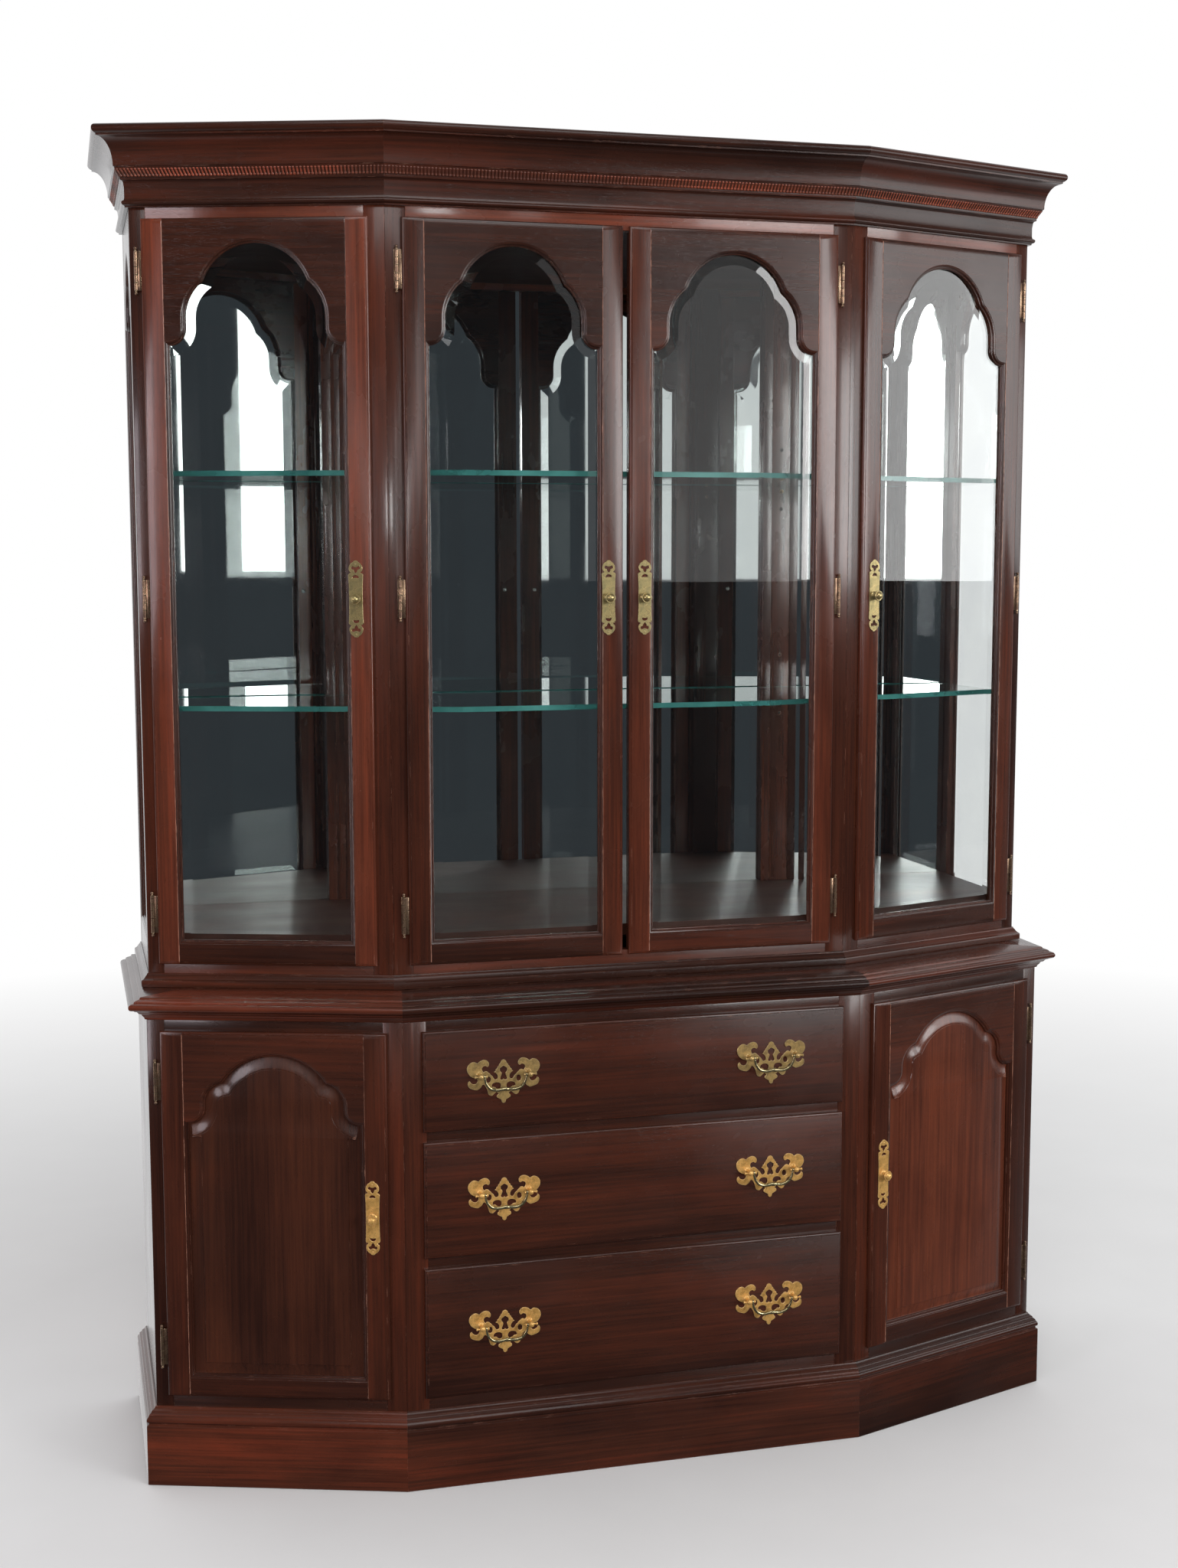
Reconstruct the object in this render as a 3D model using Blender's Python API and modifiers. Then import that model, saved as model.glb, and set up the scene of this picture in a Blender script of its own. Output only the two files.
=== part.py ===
"""China cabinet with glass doors: a glazed canted-front hutch standing on a buffet base.

The frame is in metres with +Z up. The origin is on the floor at the middle of the cabinet's
bounding box. The front looks along -Y and the flat back along +Y.
"""

import math
from collections import namedtuple

import bmesh
import bpy
from mathutils import Matrix, Vector

# ---------------------------------------------------------------- driving dimensions
CANT = math.radians(18.4)          # how far the side faces are turned back from the centre face
CENTRE_HALF = 0.368                # half the width of the flat centre face
HUTCH_HALF_WIDTH = 0.730
BASE_HALF_WIDTH = 0.7376
HUTCH_DEPTH = 0.381                # centre face to back
BASE_DEPTH = 0.456
PULL_REACH = 0.0295                # how far the drawer pulls stand out from the base's centre face
Y_BACK = (BASE_DEPTH + PULL_REACH) / 2

GAP = 0.0003                       # clearance between pieces that touch
BOARD = 0.020                      # thickness of frames and ends
THIN_BOARD = 0.018                 # thickness of floors, tops and partitions
BACK_PANEL = 0.006
MIRROR = 0.004

PLINTH_TOP = 0.095
BASE_TOP = 0.730                   # underside of the buffet top
BUFFET_TOP = 0.766                 # its upper surface, which the hutch stands on
HUTCH_TOP = 1.990                  # top of the hutch's frames, hidden by the crown
BASE_FLOOR = 0.138
HUTCH_FLOOR = 0.846
HUTCH_CEILING = 1.926
SHELF_POST_X = 0.3860              # middle of the posts in front of the mirror
SHELF_POST_WIDTH = 0.0640
SHELF_HEIGHTS = {"lower": 1.194, "upper": 1.555}
SHELF_GLASS = 0.008

# profiles run from top to bottom: (distance out from the face, height)
CROWN_PROFILE = [(0.0450, 2.0490), (0.0495, 2.0465), (0.0515, 2.0425), (0.0500, 2.0385), (0.0465, 2.0365),
                 (0.0450, 2.0330), (0.0345, 2.0270), (0.0265, 2.0160), (0.0225, 2.0050), (0.0212, 1.9945),
                 (0.0188, 1.9905), (0.0112, 1.9790), (0.0112, 1.9755), (0.0068, 1.9710), (0.0056, 1.9600),
                 (0.0056, 1.9515), (0.0068, 1.9475), (0.0100, 1.9440), (0.0100, 1.9395), (0.0050, 1.9365)]
WAIST_PROFILE = [(0.0018, 0.7870), (0.0028, 0.7840), (0.0080, 0.7785), (0.0108, 0.7745), (0.0113, 0.7700),
                 (0.0100, 0.7663)]
BUFFET_TOP_PROFILE = [(0.0085, 0.7660), (0.0095, 0.7640), (0.0185, 0.7600), (0.0200, 0.7575),
                      (0.0255, 0.7560), (0.0275, 0.7525), (0.0255, 0.7485), (0.0180, 0.7450),
                      (0.0110, 0.7410), (0.0060, 0.7360), (0.0035, 0.7310), (0.0020, 0.7303)]
PLINTH_PROFILE = [(0.0020, 0.1220), (0.0030, 0.1195), (0.0080, 0.1160), (0.0090, 0.1135), (0.0130, 0.1105),
                  (0.0140, 0.1080), (0.0165, 0.1040), (0.0160, 0.1000), (0.0130, 0.0983), (0.0135, 0.0960),
                  (0.0165, 0.0945), (0.0165, 0.0)]

# doors
LIP = 0.008                        # the part of a door or drawer front that overlaps the frame
INSERT = 0.012                     # the part that goes into the opening
REBATE = 0.006
DOOR_CLEARANCE = 0.0015
PANE = 0.004
UPPER_DOOR_Z = (0.8014, 1.9206)
LOWER_DOOR_Z = (0.1403, 0.7135)
UPPER_DOOR_WIDTH = 0.339
LOWER_DOOR_WIDTH = 0.346
UPPER_MARGIN = 0.018               # hinge stile of the hutch beside a canted door
LOWER_MARGIN = 0.020
MEETING_GAP = 0.010
STILE_WIDTH = 0.0400
BOTTOM_RAIL = 0.0385
TOP_RAIL = 0.0370
HINGE_OUT = 0.0077                 # hinge axis outside the door's edge
HINGE_FORWARD = 0.0045             # and in front of the cabinet's face
KNOB_INSET = 0.0240                # knob axis from the door's free edge
UPPER_KNOB_Z = 1.3610
LOWER_KNOB_Z = 0.4297
PLATE_HALF_HEIGHT = 0.0575
RAISED_BEVEL = 0.020               # a raised panel's bevel, how far its field stands out,
RAISED_FIELD = 0.0045
TONGUE = 0.007                     # and how thick its edge is in the frame

# cusped arches, as ratios of half the opening's width
Arch = namedtuple("Arch", "rise cusp lobe flare")
TALL_ARCH = Arch(1.143, 0.417, 0.826, 0.942)
FLAT_ARCH = Arch(0.809, 0.328, 0.573, 0.626)
CUSP_REACH = 0.60
LOBE_REACH = 0.807

# drawers
DRAWER_HALF_WIDTH = 0.339
DRAWER_Z = {"top": (0.5590, 0.7145), "middle": (0.3620, 0.5430), "bottom": (0.1400, 0.3450)}
PULL_X = 0.2155
POST_SPACING = 0.0762
PARTITION_X = 0.350                # inner side of the partitions beside the drawers
DRAWER_BOX_HALF_WIDTH = 0.334
DRAWER_BOX_DEPTH = 0.400
DRAWER_SIDE = 0.012

Body = namedtuple("Body", "half_width face_y")
HUTCH = Body(HUTCH_HALF_WIDTH, Y_BACK - HUTCH_DEPTH)
BASE = Body(BASE_HALF_WIDTH, Y_BACK - BASE_DEPTH)


# ---------------------------------------------------------------- scene and materials
def clear_scene():
    for item in list(bpy.data.objects):
        bpy.data.objects.remove(item, do_unlink=True)


def new_collection(name):
    collection = bpy.data.collections.new(name)
    bpy.context.scene.collection.children.link(collection)
    return collection


def material(name, colour, roughness, metallic=0.0):
    made = bpy.data.materials.new(name)
    made.use_nodes = True
    shader = made.node_tree.nodes["Principled BSDF"]
    shader.inputs["Base Color"].default_value = (*colour, 1.0)
    shader.inputs["Roughness"].default_value = roughness
    shader.inputs["Metallic"].default_value = metallic
    return made


clear_scene()
PARTS = new_collection("china_cabinet")
CUTTERS = new_collection("cutters")
WOOD_COLOUR = (0.10, 0.030, 0.016)
INNER_WOOD_COLOUR = (0.12, 0.045, 0.022)
BRASS_COLOUR = (0.55, 0.38, 0.14)
OLD_BRASS_COLOUR = (0.30, 0.24, 0.12)
GLASS_COLOUR = (0.62, 0.74, 0.70)
MIRROR_COLOUR = (0.70, 0.74, 0.75)
PANEL_COLOUR = (0.16, 0.09, 0.05)


def wood(name):
    return material(name + "_wood", WOOD_COLOUR, 0.32)


def inner_wood(name):
    return material(name + "_inner_wood", INNER_WOOD_COLOUR, 0.5)


def brass(name):
    return material(name + "_brass", BRASS_COLOUR, 0.3, 1.0)


def old_brass(name):
    return material(name + "_old_brass", OLD_BRASS_COLOUR, 0.38, 1.0)


def glass(name):
    return material(name + "_glass", GLASS_COLOUR, 0.05)


def silvered(name):
    return material(name + "_silver", MIRROR_COLOUR, 0.03, 1.0)


def panel_wood(name):
    return material(name + "_panel", PANEL_COLOUR, 0.6)


# ---------------------------------------------------------------- outlines and solids
def add_object(name, mesh, matrix=None, surface=None, collection=None):
    made = bpy.data.objects.new(name, mesh)
    (collection or PARTS).objects.link(made)
    if matrix is not None:
        made.matrix_world = matrix
    if surface is not None:
        mesh.materials.clear()
        mesh.materials.append(surface(name))
    return made


def as_cutter(made):
    made.hide_render = True
    made.display_type = "WIRE"
    return made


def mesh_from(bm, name):
    bmesh.ops.recalc_face_normals(bm, faces=bm.faces)
    mesh = bpy.data.meshes.new(name)
    bm.to_mesh(mesh)
    bm.free()
    return mesh


def box_mesh(name, low, high):
    bm = bmesh.new()
    bmesh.ops.create_cube(bm, size=1.0)
    size = [h - l for l, h in zip(low, high)]
    middle = [(l + h) / 2 for l, h in zip(low, high)]
    bmesh.ops.scale(bm, vec=size, verts=bm.verts)
    bmesh.ops.translate(bm, vec=middle, verts=bm.verts)
    return mesh_from(bm, name)


def box(name, low, high, surface, matrix=None):
    return add_object(name, box_mesh(name, low, high), matrix, surface)


def box_cutter(name, low, high, matrix=None):
    return as_cutter(add_object(name, box_mesh(name, low, high), matrix, collection=CUTTERS))


def cylinder_mesh(name, radius, start, end, segments=16):
    """A cylinder along Y, from start to end."""
    bm = bmesh.new()
    bmesh.ops.create_cone(bm, cap_ends=True, segments=segments, radius1=radius, radius2=radius,
                          depth=abs(end[1] - start[1]))
    bmesh.ops.rotate(bm, matrix=Matrix.Rotation(math.pi / 2, 3, "X"), verts=bm.verts)
    bmesh.ops.translate(bm, vec=[(a + b) / 2 for a, b in zip(start, end)], verts=bm.verts)
    return mesh_from(bm, name)


def curve_solid(name, outlines, thickness):
    """A closed mesh of flat outlines in XY, centred on z = 0; inner outlines are holes."""
    curve = bpy.data.curves.new(name, "CURVE")
    curve.dimensions = "2D"
    curve.fill_mode = "BOTH"
    curve.extrude = thickness / 2
    for outline in outlines:
        spline = curve.splines.new("POLY")
        spline.points.add(len(outline) - 1)
        for point, place in zip(spline.points, outline):
            point.co = (*place, 0.0, 1.0)
        spline.use_cyclic_u = True
    holder = bpy.data.objects.new(name, curve)
    bpy.context.scene.collection.objects.link(holder)
    evaluated = holder.evaluated_get(bpy.context.evaluated_depsgraph_get())
    mesh = bpy.data.meshes.new_from_object(evaluated)
    bpy.data.objects.remove(holder, do_unlink=True)
    bm = bmesh.new()
    bm.from_mesh(mesh)
    bmesh.ops.remove_doubles(bm, verts=bm.verts, dist=0.00001)
    bmesh.ops.recalc_face_normals(bm, faces=bm.faces)
    bm.to_mesh(mesh)
    bm.free()
    return mesh


def upright_mesh(name, outlines, near, far):
    """Outlines drawn in X and Z, as seen from the front, made solid from y = near to y = far."""
    mesh = curve_solid(name, outlines, far - near)
    stand_up = Matrix.Rotation(math.pi / 2, 4, "X")
    mesh.transform(Matrix.Translation((0.0, (near + far) / 2, 0.0)) @ stand_up)
    return mesh


def level_mesh(name, outline, low, high):
    """An outline drawn in plan, made solid from z = low to z = high."""
    mesh = curve_solid(name, [outline], high - low)
    mesh.transform(Matrix.Translation((0.0, 0.0, (low + high) / 2)))
    return mesh


def loft_mesh(name, rings):
    """A solid through rings of the same number of points, closed by its first and last ring."""
    bm = bmesh.new()
    rows = [[bm.verts.new(point) for point in ring] for ring in rings]
    count = len(rings[0])
    for near, far in zip(rows, rows[1:]):
        for i in range(count):
            j = (i + 1) % count
            bm.faces.new((near[i], near[j], far[j], far[i]))
    bm.faces.new(rows[0])
    bm.faces.new(rows[-1])
    return mesh_from(bm, name)


def boolean(made, other, operation):
    modifier = made.modifiers.new(other.name, "BOOLEAN")
    modifier.operation = operation
    modifier.object = other
    modifier.solver = "EXACT"


def rectangle(x0, x1, z0, z1):
    return [(x0, z0), (x1, z0), (x1, z1), (x0, z1)]


def arc(centre, radius, start, end, steps):
    """Points on an arc, both ends included; radius may differ in the two directions."""
    rx, ry = radius if isinstance(radius, tuple) else (radius, radius)
    angles = [start + (end - start) * i / steps for i in range(steps + 1)]
    return [(centre[0] + rx * math.cos(a), centre[1] + ry * math.sin(a)) for a in angles]


def arched_opening(centre_x, half_width, bottom, top, shape):
    """An opening whose head is a round arch between two cusps, with a lobe and a flare each side."""
    rise, cusp, lobe, flare = (ratio * half_width for ratio in shape)
    cusp_x = CUSP_REACH * half_width
    lobe_x = LOBE_REACH * half_width
    flare_radius = (half_width - lobe_x, rise - flare)
    flare_points = arc((half_width, -flare), flare_radius, -math.pi / 2, -math.pi, 4)
    lobe_radius = ((lobe_x - cusp_x) ** 2 + (lobe - cusp) ** 2) / (2 * (lobe_x - cusp_x))
    lobe_centre = (lobe_x - lobe_radius, -lobe)
    lobe_end = math.atan2(lobe - cusp, cusp_x - lobe_centre[0])
    lobe_points = arc(lobe_centre, lobe_radius, 0.0, lobe_end, 5)
    head_radius = (cusp_x ** 2 + cusp ** 2) / (2 * cusp)
    head_start = math.atan2(head_radius - cusp, cusp_x)
    head_points = arc((0.0, -head_radius), head_radius, head_start, math.pi / 2, 6)
    right = flare_points + lobe_points + head_points[1:-1]
    crest = [(0.0, 0.0)]
    left = [(-x, z) for x, z in reversed(right)]
    feet = [(-half_width, bottom - top), (half_width, bottom - top)]
    return [(centre_x + x, top + z) for x, z in feet + right + crest + left]


def grown(outline, distance):
    """An outline, counter-clockwise, moved outwards by a distance (inwards if it is negative)."""
    result = []
    count = len(outline)
    for i, point in enumerate(outline):
        here = Vector(point)
        before = (here - Vector(outline[i - 1])).normalized()
        after = (Vector(outline[(i + 1) % count]) - here).normalized()
        out_before = Vector((before.y, -before.x))
        out_after = Vector((after.y, -after.x))
        middle = (out_before + out_after).normalized()
        moved = here + middle * (distance / middle.dot(out_before))
        result.append((moved.x, moved.y))
    return result


# ---------------------------------------------------------------- plan of the two bodies
def plan(body, out=0.0):
    """Six corners in plan, from the back left round the front to the back right."""
    setback = (body.half_width - CENTRE_HALF) * math.tan(CANT)
    end_x = body.half_width + out
    end_y = body.face_y + setback - out * (1 - math.sin(CANT)) / math.cos(CANT)
    corner_x = CENTRE_HALF + out * math.tan(CANT / 2)
    corner_y = body.face_y - out
    left = [(-end_x, Y_BACK), (-end_x, end_y), (-corner_x, corner_y)]
    return left + [(-x, y) for x, y in reversed(left)]


def face_length(body):
    return (body.half_width - CENTRE_HALF) / math.cos(CANT)


def face_matrix(body, side):
    """Local frame of a face: X to the right along it, Y into the cabinet, Z up from the floor."""
    corners = plan(body)
    start = {"left": corners[1], "centre": corners[2], "right": corners[3]}[side]
    turn = {"left": -CANT, "centre": 0.0, "right": CANT}[side]
    return Matrix.Translation((*start, 0.0)) @ Matrix.Rotation(turn, 4, "Z")


def moulding(name, body, profile, inner=()):
    """A moulding round the front and both ends; the profile is closed along the body's faces."""
    section = list(profile) + list(inner or [(GAP, profile[-1][1]), (GAP, profile[0][1])])
    rings = []
    for corner in range(6):
        rings.append([(*plan(body, out)[corner], height) for out, height in section])
    return add_object(name, loft_mesh(name, rings), surface=wood)


def wall_loft(name, body, corners, low, high):
    """An upright wall of board thickness along some corners of the plan."""
    section = [(0.0, low), (-BOARD, low), (-BOARD, high), (0.0, high)]
    rings = [[(*plan(body, out)[corner], height) for out, height in section] for corner in corners]
    return loft_mesh(name, rings)


# ---------------------------------------------------------------- hutch and base carcases
def upper_openings():
    """Door openings of the hutch's face frame, as (side, left, right) in the faces' own frames."""
    length = face_length(HUTCH)
    inset = LIP - DOOR_CLEARANCE
    outer = (UPPER_MARGIN + inset, UPPER_MARGIN + UPPER_DOOR_WIDTH - inset)
    pair = 2 * CENTRE_HALF
    half_pair = UPPER_DOOR_WIDTH + MEETING_GAP / 2
    inner = (pair / 2 - half_pair + inset, pair / 2 + half_pair - inset)
    return [("left", *outer), ("centre", *inner), ("right", length - outer[1], length - outer[0])]


def hutch_face_frame():
    name = "hutch_face_frame"
    wall = wall_loft(name, HUTCH, (1, 2, 3, 4), BUFFET_TOP + GAP, HUTCH_TOP)
    frame = add_object(name, wall, surface=wood)
    for sign in (-1, 1):
        boolean(frame, corner_post(sign), "UNION")
    inset = LIP - DOOR_CLEARANCE
    for side, left, right in upper_openings():
        cutter = box_cutter(f"hutch_opening_{side}", (left, -0.05, UPPER_DOOR_Z[0] + inset),
                            (right, 0.10, UPPER_DOOR_Z[1] - inset), face_matrix(HUTCH, side))
        boolean(frame, cutter, "DIFFERENCE")


def corner_post(sign):
    """The post behind a corner of the face frame, which holds pins for the glass shelves."""
    near = plan(HUTCH, -BOARD / 2)
    corner = Vector(near[3] if sign > 0 else near[2])
    along = Matrix.Rotation(sign * CANT, 2) @ Vector((sign, 0.0))
    half = 0.0215
    depth = 0.028
    front = [corner - Vector((sign * half, 0.0)), corner, corner + along * half]
    middle = Matrix.Rotation(sign * CANT / 2, 2) @ Vector((0.0, 1.0))
    back = [front[2] + middle * depth, front[0] + middle * depth]
    outline = [tuple(point) for point in front + back]
    name = "corner_post_" + ("right" if sign > 0 else "left")
    mesh = level_mesh(name, outline, HUTCH_FLOOR + GAP, HUTCH_CEILING - GAP)
    return as_cutter(add_object(name, mesh, collection=CUTTERS))


def inner_outline(body, clearance=BOARD + GAP, back=BACK_PANEL + GAP):
    """The plan inside the frames and in front of the back panel."""
    corners = plan(body, -clearance)
    corners[0] = (corners[0][0], Y_BACK - back)
    corners[5] = (corners[5][0], Y_BACK - back)
    return corners


def hutch_boards():
    floor = level_mesh("hutch_floor_board", inner_outline(HUTCH), HUTCH_FLOOR - THIN_BOARD, HUTCH_FLOOR)
    add_object("hutch_floor_board", floor, surface=inner_wood)
    ceiling = level_mesh("hutch_top_board", inner_outline(HUTCH), HUTCH_CEILING, HUTCH_CEILING + THIN_BOARD)
    add_object("hutch_top_board", ceiling, surface=inner_wood)
    half = HUTCH.half_width - BOARD - GAP
    box("hutch_back_panel", (-half, Y_BACK - BACK_PANEL, BUFFET_TOP + GAP), (half, Y_BACK, HUTCH_TOP),
        panel_wood)
    mirror_back = Y_BACK - BACK_PANEL - GAP
    box("back_mirror", (-half + 0.001, mirror_back - MIRROR, HUTCH_FLOOR + GAP),
        (half - 0.001, mirror_back, HUTCH_CEILING - GAP), silvered)


def mirror_face():
    return Y_BACK - BACK_PANEL - GAP - MIRROR


def back_posts():
    """Posts in front of the mirror, facing the corner posts."""
    for side, sign in (("left", -1), ("right", 1)):
        middle = sign * SHELF_POST_X
        half = SHELF_POST_WIDTH / 2
        box(f"shelf_post_{side}", (middle - half, mirror_face() - GAP - 0.014, HUTCH_FLOOR + GAP),
            (middle + half, mirror_face() - GAP, HUTCH_CEILING - GAP), wood)


def shelf_outline():
    """A glass shelf clears the corner posts in front and the back posts behind."""
    front_y = HUTCH.face_y + 0.035
    back_y = mirror_face() - 0.016
    bend_x = 0.250
    end_x = HUTCH.half_width - BOARD - 0.003
    end_y = front_y + (end_x - bend_x) * math.tan(CANT)
    left = [(-end_x, back_y), (-end_x, end_y), (-bend_x, front_y)]
    return left + [(-x, y) for x, y in reversed(left)]


def glass_shelves():
    for name, height in SHELF_HEIGHTS.items():
        full = f"glass_shelf_{name}"
        mesh = level_mesh(full, shelf_outline(), height - SHELF_GLASS, height)
        add_object(full, mesh, surface=glass)


def hutch_ends():
    """Arched, glazed ends between the face frame's mitre and the back."""
    low = BUFFET_TOP + GAP
    front_y = plan(HUTCH)[1][1]
    depth = Y_BACK - front_y
    stile = 0.038
    for side, corners, sign in (("left", (1, 0), -1), ("right", (4, 5), 1)):
        name = f"hutch_end_frame_{side}"
        mesh = wall_loft(name, HUTCH, corners, low, HUTCH_TOP)
        for vertex in mesh.vertices:
            if vertex.co.y < Y_BACK - 0.001:
                vertex.co.y += GAP
        frame = add_object(name, mesh, surface=wood)
        outer_x = sign * HUTCH.half_width
        turn = Matrix.Rotation(-sign * math.pi / 2, 4, "Z")
        place = Matrix.Translation((outer_x, front_y + depth / 2, 0.0)) @ turn.inverted()
        opening = arched_opening(0.0, depth / 2 - stile, UPPER_DOOR_Z[0] + BOTTOM_RAIL,
                                 UPPER_DOOR_Z[1] - TOP_RAIL, TALL_ARCH)
        through = upright_mesh(name + "_opening", [opening], -0.01, BOARD + 0.01)
        rebate = upright_mesh(name + "_rebate", [grown(opening, REBATE)], REBATE, BOARD + 0.01)
        for suffix, cut in (("opening", through), ("rebate", rebate)):
            cutter = as_cutter(add_object(f"{name}_{suffix}", cut, place, collection=CUTTERS))
            boolean(frame, cutter, "DIFFERENCE")
        pane_name = f"hutch_end_pane_{side}"
        pane = upright_mesh(pane_name, [grown(opening, REBATE - GAP)], REBATE + GAP, REBATE + GAP + PANE)
        add_object(pane_name, pane, place, glass)


def mouldings():
    moulding("crown_moulding", HUTCH, CROWN_PROFILE)
    moulding("waist_moulding", HUTCH, WAIST_PROFILE)
    inner = [(-BOARD, 0.0), (-BOARD, PLINTH_TOP), (GAP, PLINTH_TOP), (GAP, PLINTH_PROFILE[0][1])]
    moulding("plinth", BASE, PLINTH_PROFILE, inner)


def buffet_top():
    rings = [[(*corner, height) for corner in plan(BASE, out)] for out, height in BUFFET_TOP_PROFILE]
    add_object("buffet_top", loft_mesh("buffet_top", rings), surface=wood)


def base_carcase():
    low = PLINTH_TOP + GAP
    high = BASE_TOP - GAP
    name = "base_face_frame"
    frame = add_object(name, wall_loft(name, BASE, (1, 2, 3, 4), low, high), surface=wood)
    inset = LIP - DOOR_CLEARANCE
    length = face_length(BASE)
    left_opening = (LOWER_MARGIN + inset, LOWER_MARGIN + LOWER_DOOR_WIDTH - inset)
    openings = {"left": left_opening, "right": (length - left_opening[1], length - left_opening[0])}
    for side, (start, end) in openings.items():
        cutter = box_cutter(f"base_opening_{side}", (start, -0.05, LOWER_DOOR_Z[0] + inset),
                            (end, 0.10, LOWER_DOOR_Z[1] - inset), face_matrix(BASE, side))
        boolean(frame, cutter, "DIFFERENCE")
    half = DRAWER_HALF_WIDTH - inset
    for drawer, (bottom, top) in DRAWER_Z.items():
        cutter = box_cutter(f"drawer_opening_{drawer}", (-half, BASE.face_y - 0.05, bottom + inset),
                            (half, BASE.face_y + 0.10, top - inset))
        boolean(frame, cutter, "DIFFERENCE")
    base_ends(low, high)
    base_boards(low, high)


def base_ends(low, high):
    for side, corners in (("left", (1, 0)), ("right", (4, 5))):
        name = f"base_end_{side}"
        mesh = wall_loft(name, BASE, corners, low, high)
        for vertex in mesh.vertices:
            if vertex.co.y < Y_BACK - 0.001:
                vertex.co.y += GAP
        add_object(name, mesh, surface=wood)


def base_boards(low, high):
    half = BASE.half_width - BOARD - GAP
    box("base_back_panel", (-half, Y_BACK - BACK_PANEL, low), (half, Y_BACK, high), panel_wood)
    floor = level_mesh("base_floor_board", inner_outline(BASE), BASE_FLOOR - THIN_BOARD, BASE_FLOOR)
    add_object("base_floor_board", floor, surface=inner_wood)
    front = BASE.face_y + BOARD + GAP
    back = Y_BACK - BACK_PANEL - GAP
    for side, sign in (("left", -1), ("right", 1)):
        edges = sorted((sign * PARTITION_X, sign * (PARTITION_X + 0.016)))
        box(f"base_partition_{side}", (edges[0], front + 0.004, BASE_FLOOR + GAP), (edges[1], back, high),
            inner_wood)


# ---------------------------------------------------------------- doors
def door_layers(name, width, height, opening, hinge_left, meeting, surface, matrix):
    """A lipped, rebated door frame: a front layer that overlaps and a back layer that goes in."""
    front = upright_mesh(name, [rectangle(0.0, width, 0.0, height), opening], -LIP, -GAP)
    frame = add_object(name, front, matrix, surface)
    free_inset = 0.0005 if meeting else LIP
    left = LIP if hinge_left else free_inset
    right = free_inset if hinge_left else LIP
    outer = rectangle(left, width - right, LIP, height - LIP)
    back = upright_mesh(name + "_insert", [outer, grown(opening, REBATE)], -LIP + 0.005, INSERT)
    insert = as_cutter(add_object(name + "_insert", back, matrix, collection=CUTTERS))
    boolean(frame, insert, "UNION")
    return frame


def keyhole_outline():
    """A tall brass plate: straight sides, a nick near each end, and narrower lobed ends."""
    half_width = 0.0111
    lobe_half = 0.0100
    lobe_z = 0.0470
    nick = (0.0080, 0.0392)
    end = arc((0.0, lobe_z), (lobe_half, PLATE_HALF_HEIGHT - lobe_z), math.radians(-30), math.radians(90), 6)
    upper = [(half_width, 0.0365), nick] + end
    lower = [(x, -z) for x, z in reversed(upper)]
    right_side = lower + upper
    left_side = [(-x, z) for x, z in reversed(right_side)]
    return right_side[1:] + left_side[1:]


def knob_with_plate(name, matrix, surface):
    """A turned knob on a tall keyhole plate with lobed ends."""
    outline = keyhole_outline()
    plate = add_object(name, upright_mesh(name, [outline], -0.0018, 0.0), matrix, surface)
    knob = add_object(name + "_turning", knob_profile_mesh(name), matrix, collection=CUTTERS)
    screw = knob.modifiers.new("Screw", "SCREW")
    screw.axis = "Y"
    screw.steps = 16
    screw.render_steps = 16
    screw.use_merge_vertices = True
    screw.merge_threshold = 0.00001
    screw.use_normal_calculate = True
    boolean(plate, as_cutter(knob), "UNION")


def knob_profile_mesh(name):
    """Half of the knob's section: radius along X, reach along -Y."""
    tip = [(0.0, -0.0180), (0.0040, -0.0172), (0.0064, -0.0150)]
    rim = [(0.0083, -0.0124), (0.0080, -0.0104), (0.0048, -0.0090)]
    neck = [(0.0036, -0.0074), (0.0036, -0.0054)]
    collar = [(0.0068, -0.0034), (0.0068, -0.0010), (0.0, -0.0010)]
    profile = tip + rim + neck + collar
    mesh = bpy.data.meshes.new(name + "_profile")
    points = [(x, y, 0.0) for x, y in profile]
    mesh.from_pydata(points, [(i, i + 1) for i in range(len(points) - 1)], [])
    return mesh


def door_place(body, side, left_edge, width, bottom, hinge_left):
    """World matrix of the door's lower left corner, and of its hinge axis."""
    face = face_matrix(body, side)
    corner = face @ Matrix.Translation((left_edge, 0.0, bottom))
    hinge_x = left_edge - HINGE_OUT if hinge_left else left_edge + width + HINGE_OUT
    hinge = face @ Matrix.Translation((hinge_x, -HINGE_FORWARD, 0.0))
    return corner, hinge


def put_origin(made, matrix):
    """Moves an object's origin to another frame and leaves its shape where it is."""
    made.data.transform(matrix.inverted() @ made.matrix_world)
    made.matrix_world = matrix


def glass_door(label, side, left_edge, hinge_left, meeting):
    name = f"glass_door_{label}"
    bottom, top = UPPER_DOOR_Z
    height = top - bottom
    width = UPPER_DOOR_WIDTH
    corner, hinge = door_place(HUTCH, side, left_edge, width, bottom, hinge_left)
    opening = arched_opening(width / 2, width / 2 - STILE_WIDTH, BOTTOM_RAIL, height - TOP_RAIL, TALL_ARCH)
    frame = door_layers(name + "_frame", width, height, opening, hinge_left, meeting, wood, corner)
    put_origin(frame, hinge)
    pane = upright_mesh(name + "_pane", [grown(opening, REBATE - GAP)], 0.0, PANE)
    put_origin(add_object(name + "_pane", pane, corner, glass), hinge)
    knob_x = width - KNOB_INSET if hinge_left else KNOB_INSET
    place = corner @ Matrix.Translation((knob_x, -LIP - GAP, UPPER_KNOB_Z - bottom))
    knob_with_plate(name + "_knob", place, old_brass)


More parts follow.
